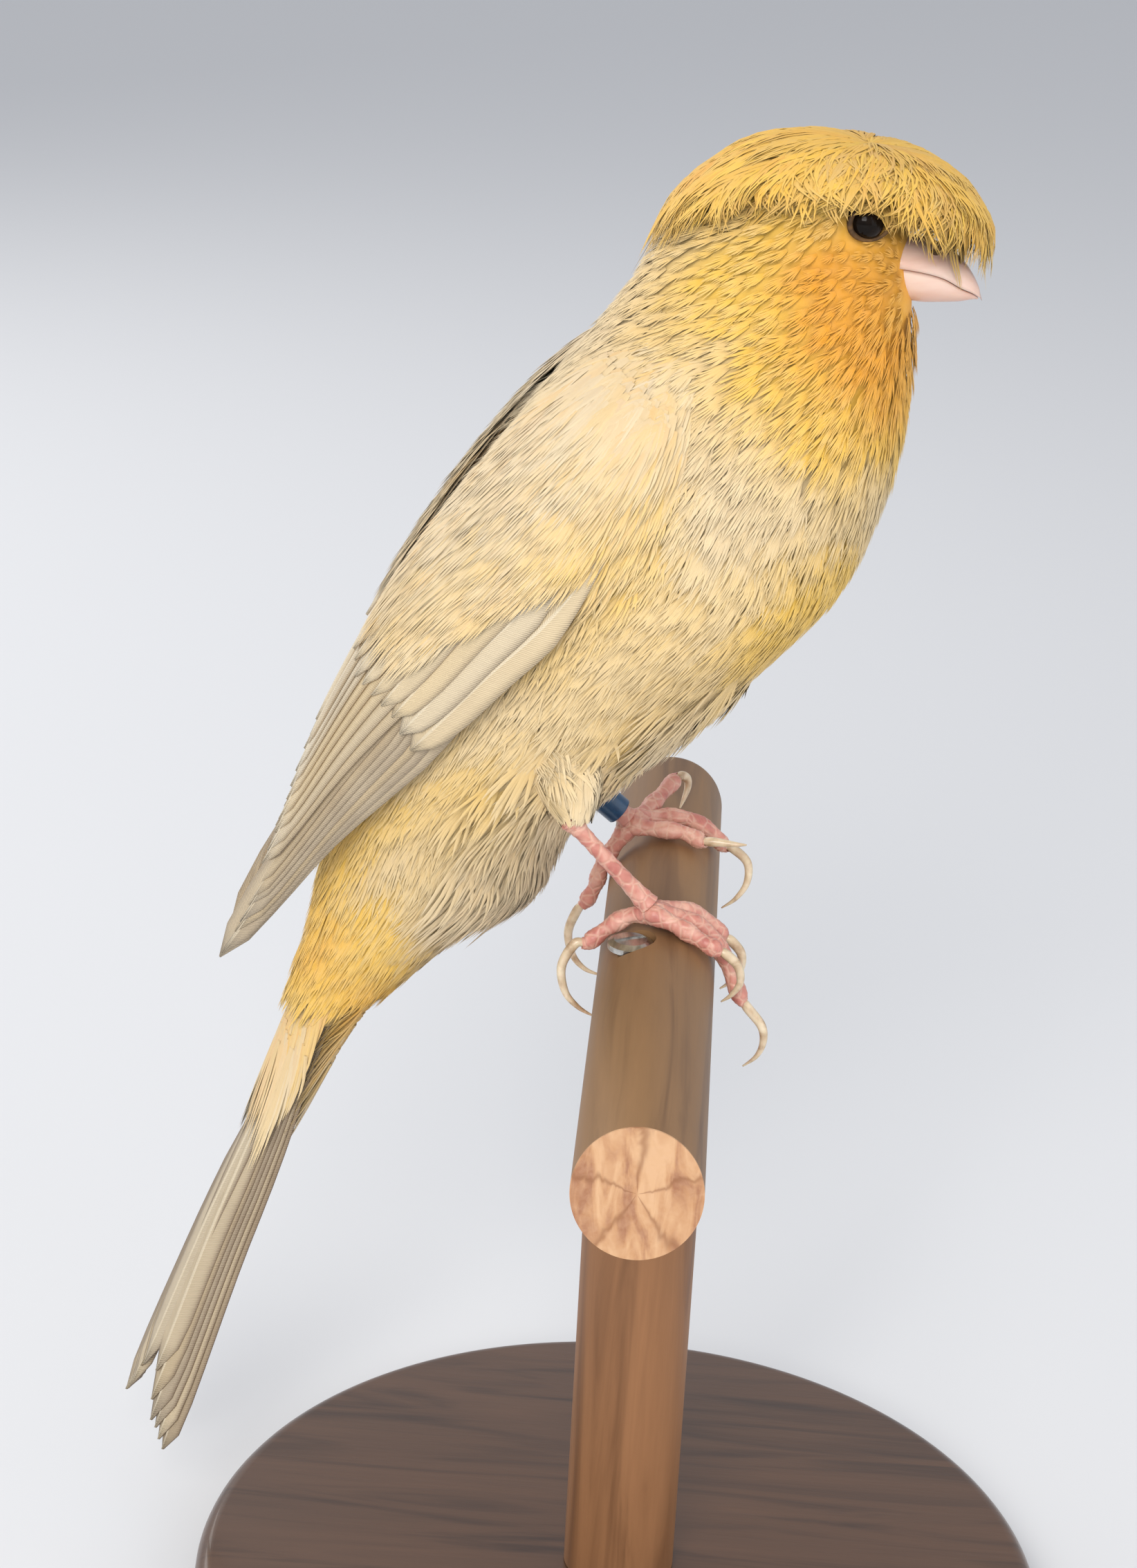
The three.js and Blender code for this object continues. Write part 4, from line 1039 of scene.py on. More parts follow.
    def thigh(self, side: Side, count: int = 400, barbs: int = 7, stations: int = 4) -> None:
        """Loose pale feathers that hang over a thigh down to the shank."""
        path = THIGHS[side]
        t = self.random.uniform(-0.1, 0.8, count)
        a = self.random.uniform(0, math.tau, count)
        offset = np.linspace(-1, 1, barbs)[:, None] + self.random.uniform(-0.2, 0.2, (count, barbs, 1))
        step = np.linspace(0, 1, stations)
        length = self.random.uniform(3.0, 8.6, count)[:, None, None] * (1 - 0.25 * offset ** 2)
        loose = self.random.normal(0, 0.75, (count, 1, 1)) * (1 - 0.8 * smooth(0.45, 0.8, t))[:, None, None]
        total = np.linalg.norm(np.diff(path, axis=0), axis=1).sum()
        places = np.clip(t[:, None, None] + step * length / total, 0,
                         0.9 + 0.24 * self.random.random((count, barbs, 1)))
        lean = self.random.normal(0, 0.5, (count, 1, 1)) * step
        turn = a[:, None, None] + lean + offset * 0.24 * np.sqrt(step)
        centre = spline(path, places * (len(path) - 1))
        tangent = unit(path[-1] - path[0])
        first, second = axes(tangent, ASIDE)
        sizes = np.array([1.6, 3.2, 4.6, 4.4, 3.2, 1.8])
        radius = spline(sizes[:, None], np.clip(places, 0, 1) * 5)[..., 0] + loose * (0.4 + 0.6 * step)
        circle = first * np.cos(turn)[..., None] + second * np.sin(turn)[..., None]
        spine = (centre + circle * radius[..., None]).reshape(-1, stations, 3)
        out = circle[:, :, 0].reshape(-1, 3)
        tint = np.repeat(markings(spine[::barbs, 0]) * [0.8, 0.8, 0.9], barbs, 0)
        width = np.ones((len(spine), 1)) * 0.4 * (1 - 0.65 * step[:-1])
        uv = np.repeat(np.stack([0.97 * np.ones(count), a / math.tau], 1), barbs, 0)
        parts = {"spine": spine, "out": out, "width": width, "tint": tint, "root_uv": uv}
        self.pieces(f"thigh_fluff_{side.label}", parts, self.finishes.fluff, (f"thigh_{side.label}",))


class Crest(Coat):
    """The crest: locks that fall from the middle of the crown on every side."""

    def build(self) -> None:
        """Make the crest's outer locks and the shorter ones under them."""
        self.locks("crest_locks", 1100, 0.0, -0.5)
        self.locks("crest_under", 340, 0.42, -3.4)

    def locks(self, name: str, locks: int, first: float, base: float, barbs: int = 7,
              stations: int = 6) -> None:
        """Make locks in layers, the lowest the longest.

        Args:
            name: the pieces' name.
            locks: how many there are.
            first: how far out from the middle the innermost roots are.
            base: the lowest layer's lift, in millimetres.
            barbs: how many barbs a lock has.
            stations: how many points a barb has.
        """
        start = first + (1 - first) * self.random.uniform(0, 0.72, locks) ** 0.85
        angle = (np.arange(locks) * GOLDEN_ANGLE) % math.tau
        reach = np.clip(start + self.random.uniform(0.3, 0.52, locks), 0.3,
                        1.0 + 0.07 * self.random.normal(size=locks)
                        + 0.12 * (self.random.random(locks) > 0.7))
        t = np.linspace(0, 1, stations)
        offset = np.linspace(-1, 1, barbs)[None] + self.random.uniform(-0.2, 0.2, (locks, barbs))
        spread = 0.11 / np.maximum(0.25, start)[:, None, None] * 0.55
        curl = self.random.normal(0, 0.13, (locks, 1, 1)) + self.random.normal(0, 0.045, (locks, barbs, 1))
        open_ = (0.35 + np.sin(t * math.pi * 0.9) ** 0.8) * (1 - 0.75 * t)
        turn = angle[:, None, None] + offset[..., None] * spread * open_ + curl * t ** 1.6
        length = (reach - start)[:, None, None] * (1 - 0.16 * offset[..., None] ** 2
                                                   + self.random.uniform(-0.09, 0.05, (locks, barbs, 1)))
        out = np.clip(start[:, None, None] + length * t, 0.005, 1.2)
        layer = self.random.uniform(0.0, 1.0, locks)[:, None, None]
        lift = base + 1.5 * layer * (0.5 + 0.5 * np.sin(t * 2.4)) + 0.25 * (1 - offset[..., None] ** 2)
        lift = lift - 1.5 * smooth(0.75, 1.1, out)
        spine = crest_point(out, turn, lift).reshape(-1, stations, 3)
        direction = unit(spine[:, 0] - HEAD_MIDDLE)
        width = np.ones((len(spine), 1)) * 0.46 * np.array([0.75, 1.0, 0.9, 0.68, 0.4])
        tone = np.clip(0.45 + 0.3 * ripple(spine[::barbs, 2], 3.0, 5.0) + self.random.normal(0, 0.18, locks),
                       0, 1)
        yellow = np.clip(0.58 + self.random.normal(0, 0.3, locks), 0, 1)
        ochre = np.clip(0.12 + self.random.normal(0, 0.12, locks), 0, 1)
        tint = np.repeat(np.stack([yellow, ochre, tone], 1), barbs, 0)
        uv = np.stack([np.repeat(start, barbs) * 0.9, np.repeat(angle, barbs) / math.tau], 1)
        self.pieces(name, {"spine": spine, "out": direction, "width": width, "tint": tint, "root_uv": uv},
                    self.finishes.crest, ("crest",), 7000)


# Wings and tail

def vane_width(t: Array, open_: float, sharp: float, power: float) -> Array:
    """A vane's share of its width along it: narrow at the root, rounded off from sharp to the tip."""
    tip = ((t - sharp) / (1 - sharp)).clip(0, 1) ** power
    return np.minimum(1, 0.3 + open_ * t) * np.clip(1 - tip, 0.0025, 1) ** 0.5


@dataclass(frozen=True)
class VaneRow:
    """One row of overlapping vanes on a sheet, from its first feather to its last."""

    name: str
    count: int
    roots: Sequence[Sequence[float]]
    tips: Sequence[Sequence[float]]
    width: float
    lift: float
    lean: float = 0.16
    cup: float = 0.1
    sharp: float = 0.62
    yellow: float = 0.12
    grey: float = 0.15

    def arrays(self, point: Callable[..., Array], random: np.random.Generator,
               stations: int = 14) -> dict[str, Array]:
        """The arrays that vane_plates takes, on a sheet."""
        t = np.linspace(0, 1, stations)
        order = np.linspace(0, 1, self.count)[:, None]
        root = np.array(self.roots[0]) * (1 - order) + np.array(self.roots[1]) * order
        tip = np.array(self.tips[0]) * (1 - order) + np.array(self.tips[1]) * order
        tip = tip + random.normal(0, 0.006, tip.shape)
        path = root[:, None] * (1 - t[None, :, None]) + tip[:, None] * t[None, :, None]
        u, v = path[..., 0], path[..., 1]
        rise = self.lift + 0.10 * order * self.count / 3 * t
        spine = point(u, v, rise)
        out = unit(point(u, v, rise + 1) - spine)
        along = unit(np.gradient(spine, axis=1))
        side = np.cross(along, out)
        wide = self.width * vane_width(t, 2.2, self.sharp, 2.6)
        tint = np.stack([np.full(self.count, self.yellow), np.full(self.count, self.grey),
                         np.full(self.count, 0.4)], 1) + random.normal(0, 0.07, (self.count, 3))
        return {"spine": spine, "side": side, "out": out,
                "width": np.broadcast_to(wide, (self.count, stations)),
                "tint": np.clip(tint, 0, 1)}


WING_ROWS = (
    VaneRow("primaries", 9, ((.34, .95), (.42, .55)), ((.985, .9), (.80, .40)), 5.4, 0.15, grey=0.5),
    VaneRow("secondaries", 8, ((.30, .70), (.22, .12)), ((.82, .44), (.66, .10)), 6.6, 0.75, grey=0.25,
            sharp=0.72),
    VaneRow("greater_coverts", 9, ((.17, .90), (.14, .10)), ((.52, .92), (.50, .12)), 5.6, 1.2, sharp=0.6),
)


@dataclass
class Wing:
    """A folded wing: rows of vanes with soft small coverts over the shoulder."""

    side: Side
    finishes: Finishes

    def point(self, along: Array, across: Array, lift: Array | float = 0.0) -> Array:
        """A point on this side's wing."""
        return wing_point(along, across, lift) * [1, self.side.value, 1]

    def build(self) -> None:
        """Make the rows and the small coverts."""
        name = self.side.label
        node = f"wing_{name}"
        random = np.random.default_rng(5 + self.side.value)
        for row in WING_ROWS:
            parts = row.arrays(self.point, random)
            piece = vane_plates(f"{row.name}_{name}", lean=row.lean * self.side.value, cup=row.cup, **parts)
            dress(piece, self.finishes.wing, "plumage", node)
        self.underlay(node)
        self.coverts(name, random)

    def underlay(self, node: str) -> None:
        """The wing's flesh and bones under its feathers, thin at its hind edge."""
        u, v = np.meshgrid(np.linspace(0.03, 0.66, 24), np.linspace(0.06, 0.92, 14), indexing="ij")
        thick = 1.5 * np.sin(v * math.pi) ** 0.5 * np.clip(u / 0.1, 0.3, 1)
        thick = thick * (1 - 0.7 * smooth(0.3, 0.66, u))
        top = self.point(u, v, -0.1)
        low = self.point(u, v, -0.3 - thick)
        rings = np.concatenate([top, low[:, ::-1]], 1)
        dress(loft(f"arm_{self.side.label}", rings, tint=skin_tint), self.finishes.body, "plumage", node)

    def coverts(self, name: str, random: np.random.Generator, count: int = 680, barbs: int = 9,
                stations: int = 4) -> None:
        """Small soft feathers over the bend of the wing and its fore part."""
        v0 = random.uniform(0.02, 0.99, count)
        u0 = -0.09 + random.random(count) * (0.47 - 0.2 * smooth(0.55, 0.85, v0))
        t = np.linspace(0, 1, stations)
        offset = np.linspace(-1, 1, barbs)[None, :, None] + random.uniform(-0.1, 0.1, (count, barbs, 1))
        size = (random.uniform(0.06, 0.085, count) + 0.09 * u0)[:, None, None] * (1 - 0.3 * offset ** 2)
        u = u0[:, None, None] + size * t
        v = v0[:, None, None] + offset * 0.062 * np.sin(np.clip(t * 1.3 + 0.1, 0, math.pi / 2))
        edge = (smooth(-0.12, 0.1, u0) * (0.3 + 0.7 * smooth(-0.05, 0.2, v0))
                * (0.3 + 0.7 * smooth(1.02, 0.78, v0)))[:, None, None]
        loose = random.normal(0, 0.16, (count, barbs, 1)) * t
        lift = 0.2 + edge * (1.3 + 1.0 * t ** 0.6) + 0.25 * (1 - offset ** 2) * t + loose
        lift = lift * (1 - 0.25 * smooth(0.2, 0.45, u0))[:, None, None]
        tuck = 3.4 * smooth(0.05, -0.1, u0)[:, None, None] * (1 - 0.55 * t)
        tuck = tuck + 1.5 * smooth(0.8, 1.0, v0)[:, None, None]
        spine = self.point(u, np.clip(v, -0.04, 1.04), lift - tuck).reshape(-1, stations, 3)
        out = unit(self.point(u0, v0, 1.0) - self.point(u0, v0, 0.0))
        tint = markings(spine[::barbs, 0]) * [0.85, 0.1, 0.8] + random.normal(0, 0.08, (count, 3))
        width = np.ones((len(spine), 1)) * 0.52 * (1 - 0.55 * t[:-1])
        uv = np.repeat(np.stack([0.9 + u0 * 0.2, v0 * 0.95], 1), barbs, 0)
        piece = ribbons(f"small_coverts_{name}", spine, np.repeat(out, barbs, 0), width,
                        np.repeat(np.clip(tint, 0, 1), barbs, 0), uv)
        dress(piece, self.finishes.body, "plumage", f"wing_{name}")


@dataclass
class Tail:
    """The closed forked tail with its coverts above and below."""

    finishes: Finishes
    pairs: int = 6

    def build(self) -> None:
        """Make the rectrices and the coverts."""
        random = np.random.default_rng(3)
        t = np.linspace(0, 1, 18)
        out_ = np.linspace(0, 1, self.pairs)[:, None]
        for side in Side:
            s = side.value
            u = (0.88 + 0.12 * out_ ** 0.7 + random.normal(0, 0.006, out_.shape)) * t
            v = s * (0.4 * out_ * (1 - t) + (0.24 + 0.7 * out_) * t)
            lift = (0.9 - 1.7 * out_) * np.ones_like(t)
            spine = tail_point(u, v, lift)
            out = unit(tail_point(u, v, lift + 1) - spine)
            cross = np.cross(unit(np.gradient(spine, axis=1)), out)
            wide = (5.2 - 0.7 * out_) * vane_width(t, 1.8, 0.86, 2.2)
            tint = np.clip(np.array([[0.1, 0.4, 0.4]])
                           + random.normal(0, 0.2, (self.pairs, 3)) * [0.3, 1.0, 0.4], 0, 1)
            piece = vane_plates(f"rectrices_{side.label}", spine, cross, out, wide, tint, 0.12 * -s, 0.16)
            dress(piece, self.finishes.tail, "plumage", "tail")
        self.coverts("upper_tail_coverts", 1.0, 200, random)
        self.coverts("under_tail_coverts", -1.0, 300, random)

    def coverts(self, name: str, face: float, count: int, random: np.random.Generator, barbs: int = 10,
                stations: int = 5) -> None:
        """Long soft yellow feathers over or under the root of the tail."""
        u0 = random.uniform(0.0, 0.25, count)
        v0 = random.uniform(-1.0, 1.0, count)
        t = np.linspace(0, 1, stations)
        offset = np.linspace(-1, 1, barbs)[None, :, None] + random.uniform(-0.15, 0.15, (count, barbs, 1))
        size = random.uniform(0.11, 0.24, count)[:, None, None] * (1 - 0.3 * offset ** 2)
        u = u0[:, None, None] + size * t
        open_ = 0.42 * np.sin(np.clip(t * 1.3, 0, math.pi / 2)) * (1 - 0.35 * t)
        v = v0[:, None, None] * (1 - 0.25 * t) + offset * open_
        root = (4.2 - 5.0 * u0 if face > 0 else 6.2 - 6.0 * u0)[:, None, None]
        loose = random.normal(0, 0.2, (count, barbs, 1)) * t
        high = root - (root - 1.4) * t + loose - 1.1 * np.abs(v0[:, None, None]) ** 2
        high = high * np.sqrt(1 - (0.8 * v0[:, None, None]) ** 2)
        spine = tail_point(u, v, face * (high + 0.2)).reshape(-1, stations, 3)
        upward = unit(tail_point(u0, v0, np.full(count, 1.0)) - tail_point(u0, v0, np.zeros(count))) * face
        sideways = unit(tail_point(u0, v0 + 0.1) - tail_point(u0, v0 - 0.1))
        lean = (0.9 * v0)[:, None]
        out = unit(upward * np.sqrt(1 - lean ** 2) + sideways * lean)
        tint = np.clip(np.stack([0.95 - 3.2 * np.maximum(u0, 0), 0.3 - 1.4 * np.maximum(u0, 0),
                                 np.full(count, 0.45)], 1)
                       + random.normal(0, 0.13, (count, 3)), 0, 1)
        width = np.ones((len(spine), 1)) * 0.56 * (1 - 0.6 * t[:-1])
        uv = np.repeat(np.stack([0.93 + u0 * 0.1, (v0 + 1) * 0.48], 1), barbs, 0)
        piece = ribbons(name, spine, np.repeat(out, barbs, 0), width, np.repeat(tint, barbs, 0), uv)
        dress(piece, self.finishes.body, "plumage", "tail")


# Bill, eyes and legs

BILL_STATIONS = np.array([
    [23.5, 94.6, 90.9, 86.7, 4.5, 3.8], [26.5, 94.2, 90.5, 86.3, 4.2, 3.5], [29, 93.3, 89.8, 86.4, 3.5, 2.9],
    [31.2, 91.8, 88.6, 86.6, 2.6, 2], [32.7, 90, 87.9, 86.9, 1.7, 1.1], [33.6, 88.4, 87.3, 87, 0.9, 0.4],
], float)


@dataclass
class Bill:
    """The short conical bill in its two halves, with nostrils in the upper one."""

    finishes: Finishes
    gap: float = 0.12

    def half(self, upper: bool) -> Array:
        """Rings of one half, flat along the mouth line."""
        places = np.linspace(0, 4.93, 46)
        row = spline(BILL_STATIONS, places)
        turn = np.linspace(0, math.pi, 25)
        high = (row[:, 1] - row[:, 2] - self.gap) if upper else (row[:, 2] - row[:, 3] - self.gap)
        wide = row[:, 4] if upper else row[:, 5]
        rise = np.sin(turn) ** 0.85 * high[:, None]
        spread = np.cos(turn) * (1 - 0.12 * np.sin(turn)) * wide[:, None]
        sign = 1 if upper else -1
        curve = np.concatenate([rise, np.zeros((len(places), 7))], 1)
        floor = np.linspace(-1, 1, 9)[None, 1:-1] * wide[:, None]
        y = np.concatenate([spread, floor], 1)
        z = row[:, 2, None] + sign * (self.gap + curve)
        return np.stack([row[:, 0, None] * np.ones_like(y), y, z], -1)

    def build(self) -> None:
        """Make both halves, and the nostrils as small dark balls: painted shade standing for their openings.
        """
        upper = loft("bill_upper_horn", self.half(True), np.array([34.1, 0.0, 86.8]))
        lower = loft("bill_lower_horn", self.half(False), np.array([33.3, 0.0, 87.25]))
        dress(upper, self.finishes.bill, "bill_horn", "bill_upper")
        dress(lower, self.finishes.bill, "bill_horn", "bill_lower")
        for side in Side:
            # Each nostril is a small dark ball in the lids' dark skin finish that just breaks the horn:
            # painted shade for the hole's depth.
            nostril_shade = ball(f"nostril_{side.label}", (27.7, 2.62 * side.value, 92.85), 0.5, (1.25, 0.9, 0.75))
            dress(nostril_shade, self.finishes.lid, "bill_horn", "bill_upper")


def ball(name: str, centre: Sequence[float], radius: float, stretch: Sequence[float] = (1, 1, 1)) -> Object:
    """A round or stretched ball."""
    choose()
    bpy.ops.mesh.primitive_uv_sphere_add(segments=48, ring_count=28, radius=radius * MM,
                                         location=to_row(centre))
    piece = bpy.context.object
    piece.name = name
    piece.scale = stretch
    bpy.ops.object.transform_apply(location=True, rotation=True, scale=True)
    bpy.ops.object.shade_smooth()
    return piece


@dataclass
class Eyes:
    """The two dark wet eyes."""

    finishes: Finishes

    def build(self) -> None:
        """Make them."""
        for side in Side:
            place = (EYE_CENTRE[0], EYE_CENTRE[1] * side.value, EYE_CENTRE[2])
            name = f"eye_{side.label}"
            dress(ball(f"{name}_ball", place, EYE_RADIUS), self.finishes.eye, "eye", name)


@dataclass(frozen=True)
class LegShape:
    """A leg's places: ankle, foot and the paths of its toes and claws round the perch."""

    ankle: Sequence[float]
    foot: Sequence[float]
    toes: dict[str, Sequence[Sequence[float]]]
    claws: dict[str, Sequence[Sequence[float]]]


LEGS = {
    Side.RIGHT: LegShape(
        (-11, -14.4, 20.2), (-1.4, -15.2, 10.6),
        {"hind": ((-8, 9.6, -15.2), (-24, 9.4, -14.3), (-44, 9.3, -14.2), (-62, 9.9, -14.4)),
         "outer": ((-6, 9.7, -15.6), (14, 9.1, -16.8), (33, 9, -17.4), (50, 9.7, -17.6)),
         "middle": ((-6, 9.7, -15), (20, 9.1, -13.9), (46, 9.1, -13.4), (72, 9.3, -13.6), (98, 11, -14.4)),
         "inner": ((-8, 9.6, -14.6), (14, 9.1, -11.6), (38, 9.1, -10.2), (60, 9.4, -9.6))},
        {"hind": ((-68, 11.4, -14.6), (-84, 12.1, -15), (-100, 11.6, -15.4), (-113, 10.5, -15.4),
                  (-125, 9.2, -15.4)),
         "outer": ((57, 10.4, -17.6), (68, 11.1, -17.6), (80, 10.9, -17.4), (90, 9.8, -17.2),
                   (98, 8.6, -17)),
         "middle": ((104, 12.4, -14.6), (111, 14.9, -14.6), (118, 16.2, -14.5), (126, 16.8, -14.2),
                    (134, 16.6, -14)),
         "inner": ((67, 10.2, -9.6), (78, 11, -9.6), (89, 10.8, -9.8), (99, 9.8, -10), (107, 8.7, -10.2))}),
    Side.LEFT: LegShape(
        (-16.4, 13.6, 19.4), (-5.4, 15, 10.1),
        {"hind": ((-32, 10.2, 14.8), (-50, 9.3, 14.2), (-70, 9.1, 14), (-88, 9.2, 14.2), (-102, 10.6, 14.2)),
         "outer": ((-26, 10.6, 15.6), (-17, 10.4, 18.6), (-7, 11, 21.8), (2.5, 12.1, 25.2)),
         "middle": ((-26, 10.6, 15.4), (-8, 9.3, 18.4), (16, 9.2, 19.4), (40, 9.1, 20.2), (58, 9.2, 20.4)),
         "inner": ((-28, 10.4, 14.8), (-10, 9.2, 14.3), (12, 9.1, 14.3), (31, 9.2, 14))},
        {"hind": ((-108, 12.2, 14.2), (-119, 14.4, 14.2), (-131, 15.7, 14.2), (-141, 15.9, 14.2),
                  (-150, 15.2, 14.2)),
         "outer": ((6.5, 12.6, 26), (10.5, 12.2, 26.4), (12.5, 11, 26.2), (11.8, 9.6, 25.4),
                   (10.2, 8.4, 24.4)),
         "middle": ((63, 10.2, 20.2), (76, 11.6, 19.8), (90, 11.4, 19.4), (103, 10.3, 19), (115, 9, 18.8)),
         "inner": ((36, 9.9, 13.7), (41, 10.7, 13.5), (46, 11.6, 13.3), (50, 12.6, 13.1), (53, 13.6, 13))}),
}


def grip(rows: Sequence[Sequence[float]]) -> Array:
    """Points from an angle round the perch, a distance from its axis and a place along it."""
    table = np.array(rows, float)
    turn = np.radians(table[:, 0])
    return np.stack([table[:, 1] * np.sin(turn), table[:, 2], table[:, 1] * np.cos(turn)], 1)


@dataclass
class Leg:
    """A scaly shank with four toes and their claws."""

    side: Side
    finishes: Finishes

    def build(self) -> None:
        """Make the shank, the toes and the claws."""
        name = self.side.label
        shape = LEGS[self.side]
        ankle, foot = np.array(shape.ankle), np.array(shape.foot)
        shank = np.array([ankle + (ankle - foot) * 0.12, ankle, (ankle + foot) / 2, foot])
        rings = limb_rings(shank, [1.2, 1.45, 1.0, 0.98, 1.05, 1.45], 32, 90)
        self.scutes(rings, 13, 0.07)
        dress(loft(f"shank_{name}", rings), self.finishes.leg, "leg_skin", f"tarsus_{name}")
        for toe, rows in shape.toes.items():
            claw = grip(shape.claws[toe])
            path = np.concatenate([[foot - [0, 0, 0.9]], grip(rows)])
            path = np.concatenate([path, [path[-1] * 0.55 + claw[0] * 0.45]])
            bones = len(rows)
            rings = limb_rings(path, [1.4, 1.3, 1.15, 1.12, 1.06, 1.0, 0.66], 28, 96)
            self.scutes(rings, 5 * bones, 0.045)
            self.pads(rings, bones)
            piece = loft(f"toe_{toe}_{name}", rings)
            dress(piece, self.finishes.leg, "leg_skin", f"foot_{name}")
            start = path[-1] * 0.75 + path[-2] * 0.25
            nail = limb_rings(np.concatenate([[start], claw]), [0.5, 0.66, 0.6, 0.48, 0.32, 0.1], 22, 40)
            horn = loft(f"nail_{toe}_{name}", nail, claw[-1])
            dress(horn, self.finishes.claw, "claw_horn", f"claw_{toe}_{name}")

    @staticmethod
    def scutes(rings: Array, count: int, depth: float) -> None:
        """Raise each scute a little at its lower edge."""
        place = np.linspace(0, count, len(rings)) % 1
        centre = rings.mean(1, keepdims=True)
        swell = 1 + depth * 1.6 * place ** 2 * (1 - smooth(0.86, 1.0, place))
        rings[:] = centre + (rings - centre) * swell[:, None, None]

    @staticmethod
    def pads(rings: Array, bones: int) -> None:
        """Swell the toe at each joint."""
        place = np.linspace(0, bones, len(rings))
        swell = 1 + 0.11 * np.cos((place - np.round(place)) * math.tau) * (place > 0.5)
        centre = rings.mean(1, keepdims=True)
        rings[:] = centre + (rings - centre) * swell[:, None, None]


@dataclass
class LegRing:
    """The closed metal ring round the left shank."""

    finishes: Finishes

    def build(self) -> None:
        """Make the ring with rounded edges."""
        shape = LEGS[Side.LEFT]
        ankle, foot = np.array(shape.ankle), np.array(shape.foot)
        axis = unit(foot - ankle)
        middle = ankle + (foot - ankle) * 0.76
        profile = np.array([[1.46, -1.9], [1.56, -2.0], [1.85, -2.0], [1.95, -1.9], [1.95, 1.9], [1.85, 2.0],
                            [1.56, 2.0], [1.46, 1.9]])
        first, second = axes(axis, np.array([0.0, 1.0, 0.0]))
        around = np.arange(64) / 64 * math.tau
        radial = first * np.cos(around)[:, None] + second * np.sin(around)[:, None]
        points = middle + radial[:, None] * profile[None, :, :1] + axis * profile[None, :, 1:]
        count = len(profile)
        i, j = np.meshgrid(np.arange(64), np.arange(count), indexing="ij")
        n, k = (i + 1) % 64, (j + 1) % count
        faces = np.stack([i * count + j, n * count + j, n * count + k, i * count + k], -1).reshape(-1, 4)
        ring = new_mesh("ring_band", points.reshape(-1, 3), faces)
        face_outwards(ring)
        choose(ring)
        bpy.ops.object.shade_smooth_by_angle(angle=math.radians(35))
        dress(ring, self.finishes.ring, "ring_metal", "leg_ring")


# Stand and studio

def cylinder(name: str, radius: float, length: float, centre: Sequence[float],
             turn: Sequence[float] = (0, 0, 0),
             sides: int = 128) -> Object:
    """A closed cylinder, its size and place in bird-frame millimetres."""
    choose()
    bpy.ops.mesh.primitive_cylinder_add(vertices=sides, radius=radius * MM, depth=length * MM,
                                        location=to_row(centre), rotation=turn)
    piece = bpy.context.object
    piece.name = name
    bpy.ops.object.transform_apply(location=True, rotation=True, scale=True)
    return piece


def cut(piece: Object, tool: Object) -> None:
    """Take one solid out of another."""
    modifier = piece.modifiers.new("cut", "BOOLEAN")
    modifier.operation = "DIFFERENCE"
    modifier.solver = "EXACT"
    modifier.object = tool
    bpy.context.view_layer.objects.active = piece
    bpy.ops.object.modifier_apply(modifier=modifier.name)
    bpy.data.objects.remove(tool)


def soften(piece: Object, width: float, segments: int, chosen: Callable[[Vector], bool]) -> None:
    """Round the edges between chosen points.

    Args:
        piece: the piece.
        width: the rounding's width in millimetres.
        segments: how many steps round it.
        chosen: says for a point, in row metres, whether edges between such points are rounded.
    """
    weights = piece.data.attributes.new("bevel_weight_edge", "FLOAT", "EDGE")
    points = piece.data.vertices
    for edge in piece.data.edges:
        weights.data[edge.index].value = float(all(chosen(points[v].co) for v in edge.vertices))
    modifier = piece.modifiers.new("soften", "BEVEL")
    modifier.limit_method = "WEIGHT"
    modifier.width = width * MM
    modifier.segments = segments
    bpy.context.view_layer.objects.active = piece
    bpy.ops.object.modifier_apply(modifier=modifier.name)


def shade(piece: Object) -> None:
    """Shade a made piece smooth over its small angles."""
    choose(piece)
    bpy.ops.object.shade_smooth_by_angle(angle=math.radians(32))


@dataclass
class Stand:
    """The round wooden perch with its screw, on a post and a turned base."""

    finishes: Finishes
    far_y: float = 49.0
    gap: float = 0.3
    base_radius: float = 58.0
    base_height: float = 9.0

    def build(self) -> None:
        """Make the dowel, the post and the base; the screw stays the CAD's own."""
        self.dowel()
        self.post()
        self.base()
        screw = bpy.data.objects["perch_screw"]
        screw.data.materials.clear()
        screw.data.materials.append(self.finishes.steel)

    def dowel(self) -> None:
        """The perch: its near end sawn aslant, its far end rounded, with a seat for the screw."""
        near = PERCH_NEAR_Y - 4
        piece = cylinder("perch_round", PERCH_RADIUS, self.far_y - near, (0, (self.far_y + near) / 2, 0),
                         (math.pi / 2, 0, 0))
        far = to_row((0, self.far_y, 0))[1]
        soften(piece, 3.2, 6, lambda point: point.y > far - MM * 0.01)
        saw = cylinder("saw", 30, 20, (0, PERCH_NEAR_Y - 10 * math.cos(PERCH_CUT_TILT),
                                       10 * math.sin(PERCH_CUT_TILT)),
                       (math.pi / 2 - PERCH_CUT_TILT, 0, 0))
        cut(piece, saw)
        cut(piece, cylinder("seat", 3.2, 6, (-3.4, -18.2, 7.3 - 1.3 - 0.3 + 3)))
        shade(piece)
        dress(piece, self.finishes.perch, "perch_wood", "perch_dowel")

    def post(self) -> None:
        """The post, coped to the perch."""
        low = self.base_height + self.gap - PERCH_HEIGHT
        piece = cylinder("post_round", PERCH_RADIUS, -low, (0, POST_Y, low / 2))
        cut(piece, cylinder("cope", PERCH_RADIUS + self.gap, 60, (0, POST_Y, 0), (math.pi / 2, 0, 0)))
        shade(piece)
        dress(piece, self.finishes.post, "perch_wood", "stand_post")

    def base(self) -> None:
        """The turned base with a softened upper edge."""
        piece = cylinder("base_turned", self.base_radius, self.base_height,
                         (0, POST_Y, self.base_height / 2 - PERCH_HEIGHT), sides=192)
        top = self.base_height * MM
        soften(piece, 2.4, 6, lambda point: point.z > top - MM * 0.01)
        shade(piece)
        dress(piece, self.finishes.base, "base_wood", "stand_base")


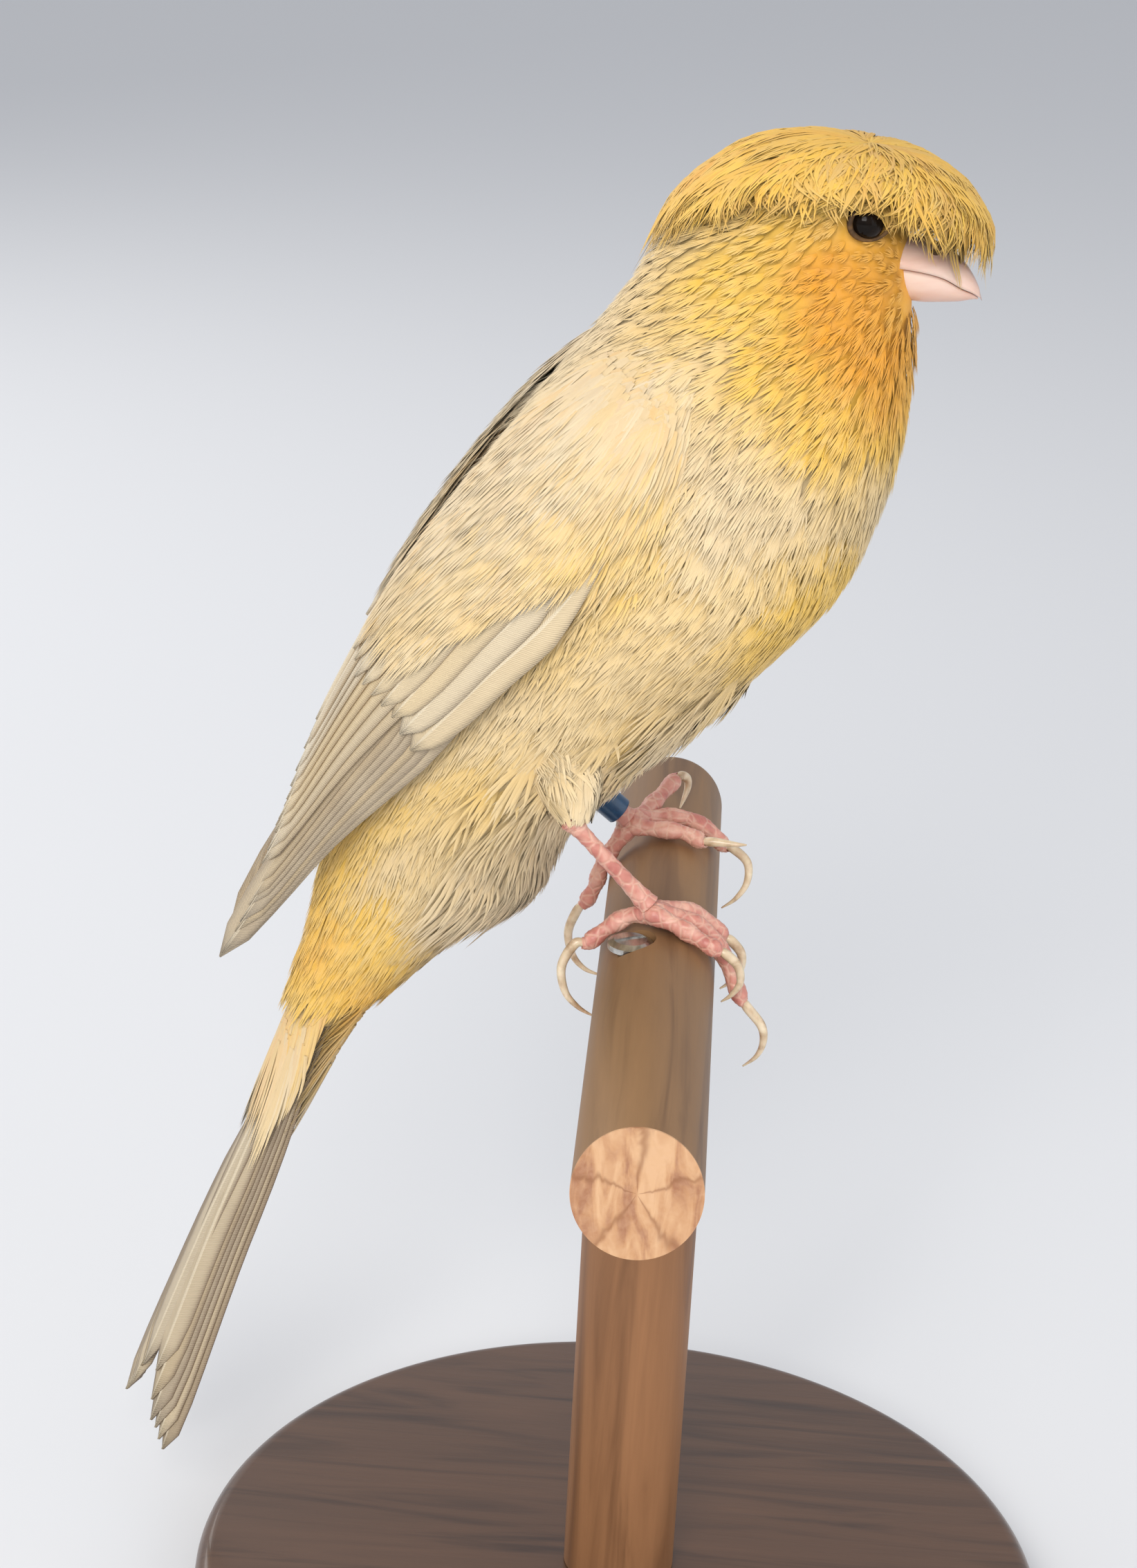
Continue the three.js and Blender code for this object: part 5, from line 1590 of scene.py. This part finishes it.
@dataclass
class Studio:
    """A pale floor, soft lights and the photograph's camera."""

    def build(self) -> None:
        """Make them."""
        self.floor()
        self.light("key", (-0.12, -0.8, 0.62), 0.45, 6.3, (1.0, 0.97, 0.92))
        self.light("fill", (0.75, -0.35, 0.35), 0.8, 1.6, (0.95, 0.97, 1.0))
        self.light("rim", (-0.55, 0.5, 0.6), 0.6, 3.0, (1.0, 0.98, 0.95))
        world = bpy.data.worlds.new("studio")
        world.use_nodes = True
        background = world.node_tree.nodes["Background"]
        background.inputs[0].default_value = (0.93, 0.95, 1.0, 1.0)
        background.inputs[1].default_value = 0.62
        bpy.context.scene.world = world
        bpy.context.scene.view_settings.view_transform = "Standard"
        self.camera()

    @staticmethod
    def floor() -> None:
        """A wide pale sweep under the stand."""
        choose()
        bpy.ops.mesh.primitive_plane_add(size=30.0, location=(0, 0, -0.0002))
        floor = bpy.context.object
        floor.name = "studio_floor"
        material, nodes = Finish("studio_paper", 0.9, 0.1).start()
        nodes.shader.inputs["Base Color"].default_value = (0.74, 0.75, 0.77, 1.0)
        floor.data.materials.append(material)

    @staticmethod
    def light(name: str, place: Sequence[float], size: float, watts: float, colour: Sequence[float]) -> None:
        """A square soft light turned to the bird."""
        choose()
        bpy.ops.object.light_add(type="AREA", location=place)
        lamp = bpy.context.object
        lamp.name = f"studio_{name}"
        lamp.data.size = size
        lamp.data.energy = watts
        lamp.data.color = colour
        lamp.rotation_euler = (Vector((0, 0.0145, 0.15)) - Vector(place)).to_track_quat("-Z", "Y").to_euler()

    @staticmethod
    def camera() -> None:
        """The camera at its solved place."""
        data = bpy.data.cameras.new("photo_camera")
        data.lens = LENS
        data.sensor_width = SENSOR
        data.clip_start = 0.01
        camera = bpy.data.objects.new("photo_camera", data)
        right = Vector((0.99691, 0.06182, 0.04848))
        up = Vector((-0.06762, 0.36106, 0.93009))
        back = -Vector((-0.03999, 0.93049, -0.36412))
        matrix = Matrix((right, up, back)).transposed().to_4x4()
        matrix.translation = Vector((0.00314, -0.36111, 0.26432))
        camera.matrix_world = matrix
        bpy.context.scene.collection.objects.link(camera)
        bpy.context.scene.camera = camera


def main() -> None:
    """Build every part of the bird, its stand and the studio."""
    logging.basicConfig(level=logging.INFO, format="%(name)s: %(message)s")
    finishes = Finishes()
    Skin(finishes).build()
    Coat(finishes).build()
    Crest(finishes, 23).build()
    for side in Side:
        Wing(side, finishes).build()
        Leg(side, finishes).build()
    Tail(finishes).build()
    Bill(finishes).build()
    Eyes(finishes).build()
    LegRing(finishes).build()
    Stand(finishes).build()
    Studio().build()


if __name__ == "__main__":
    main()
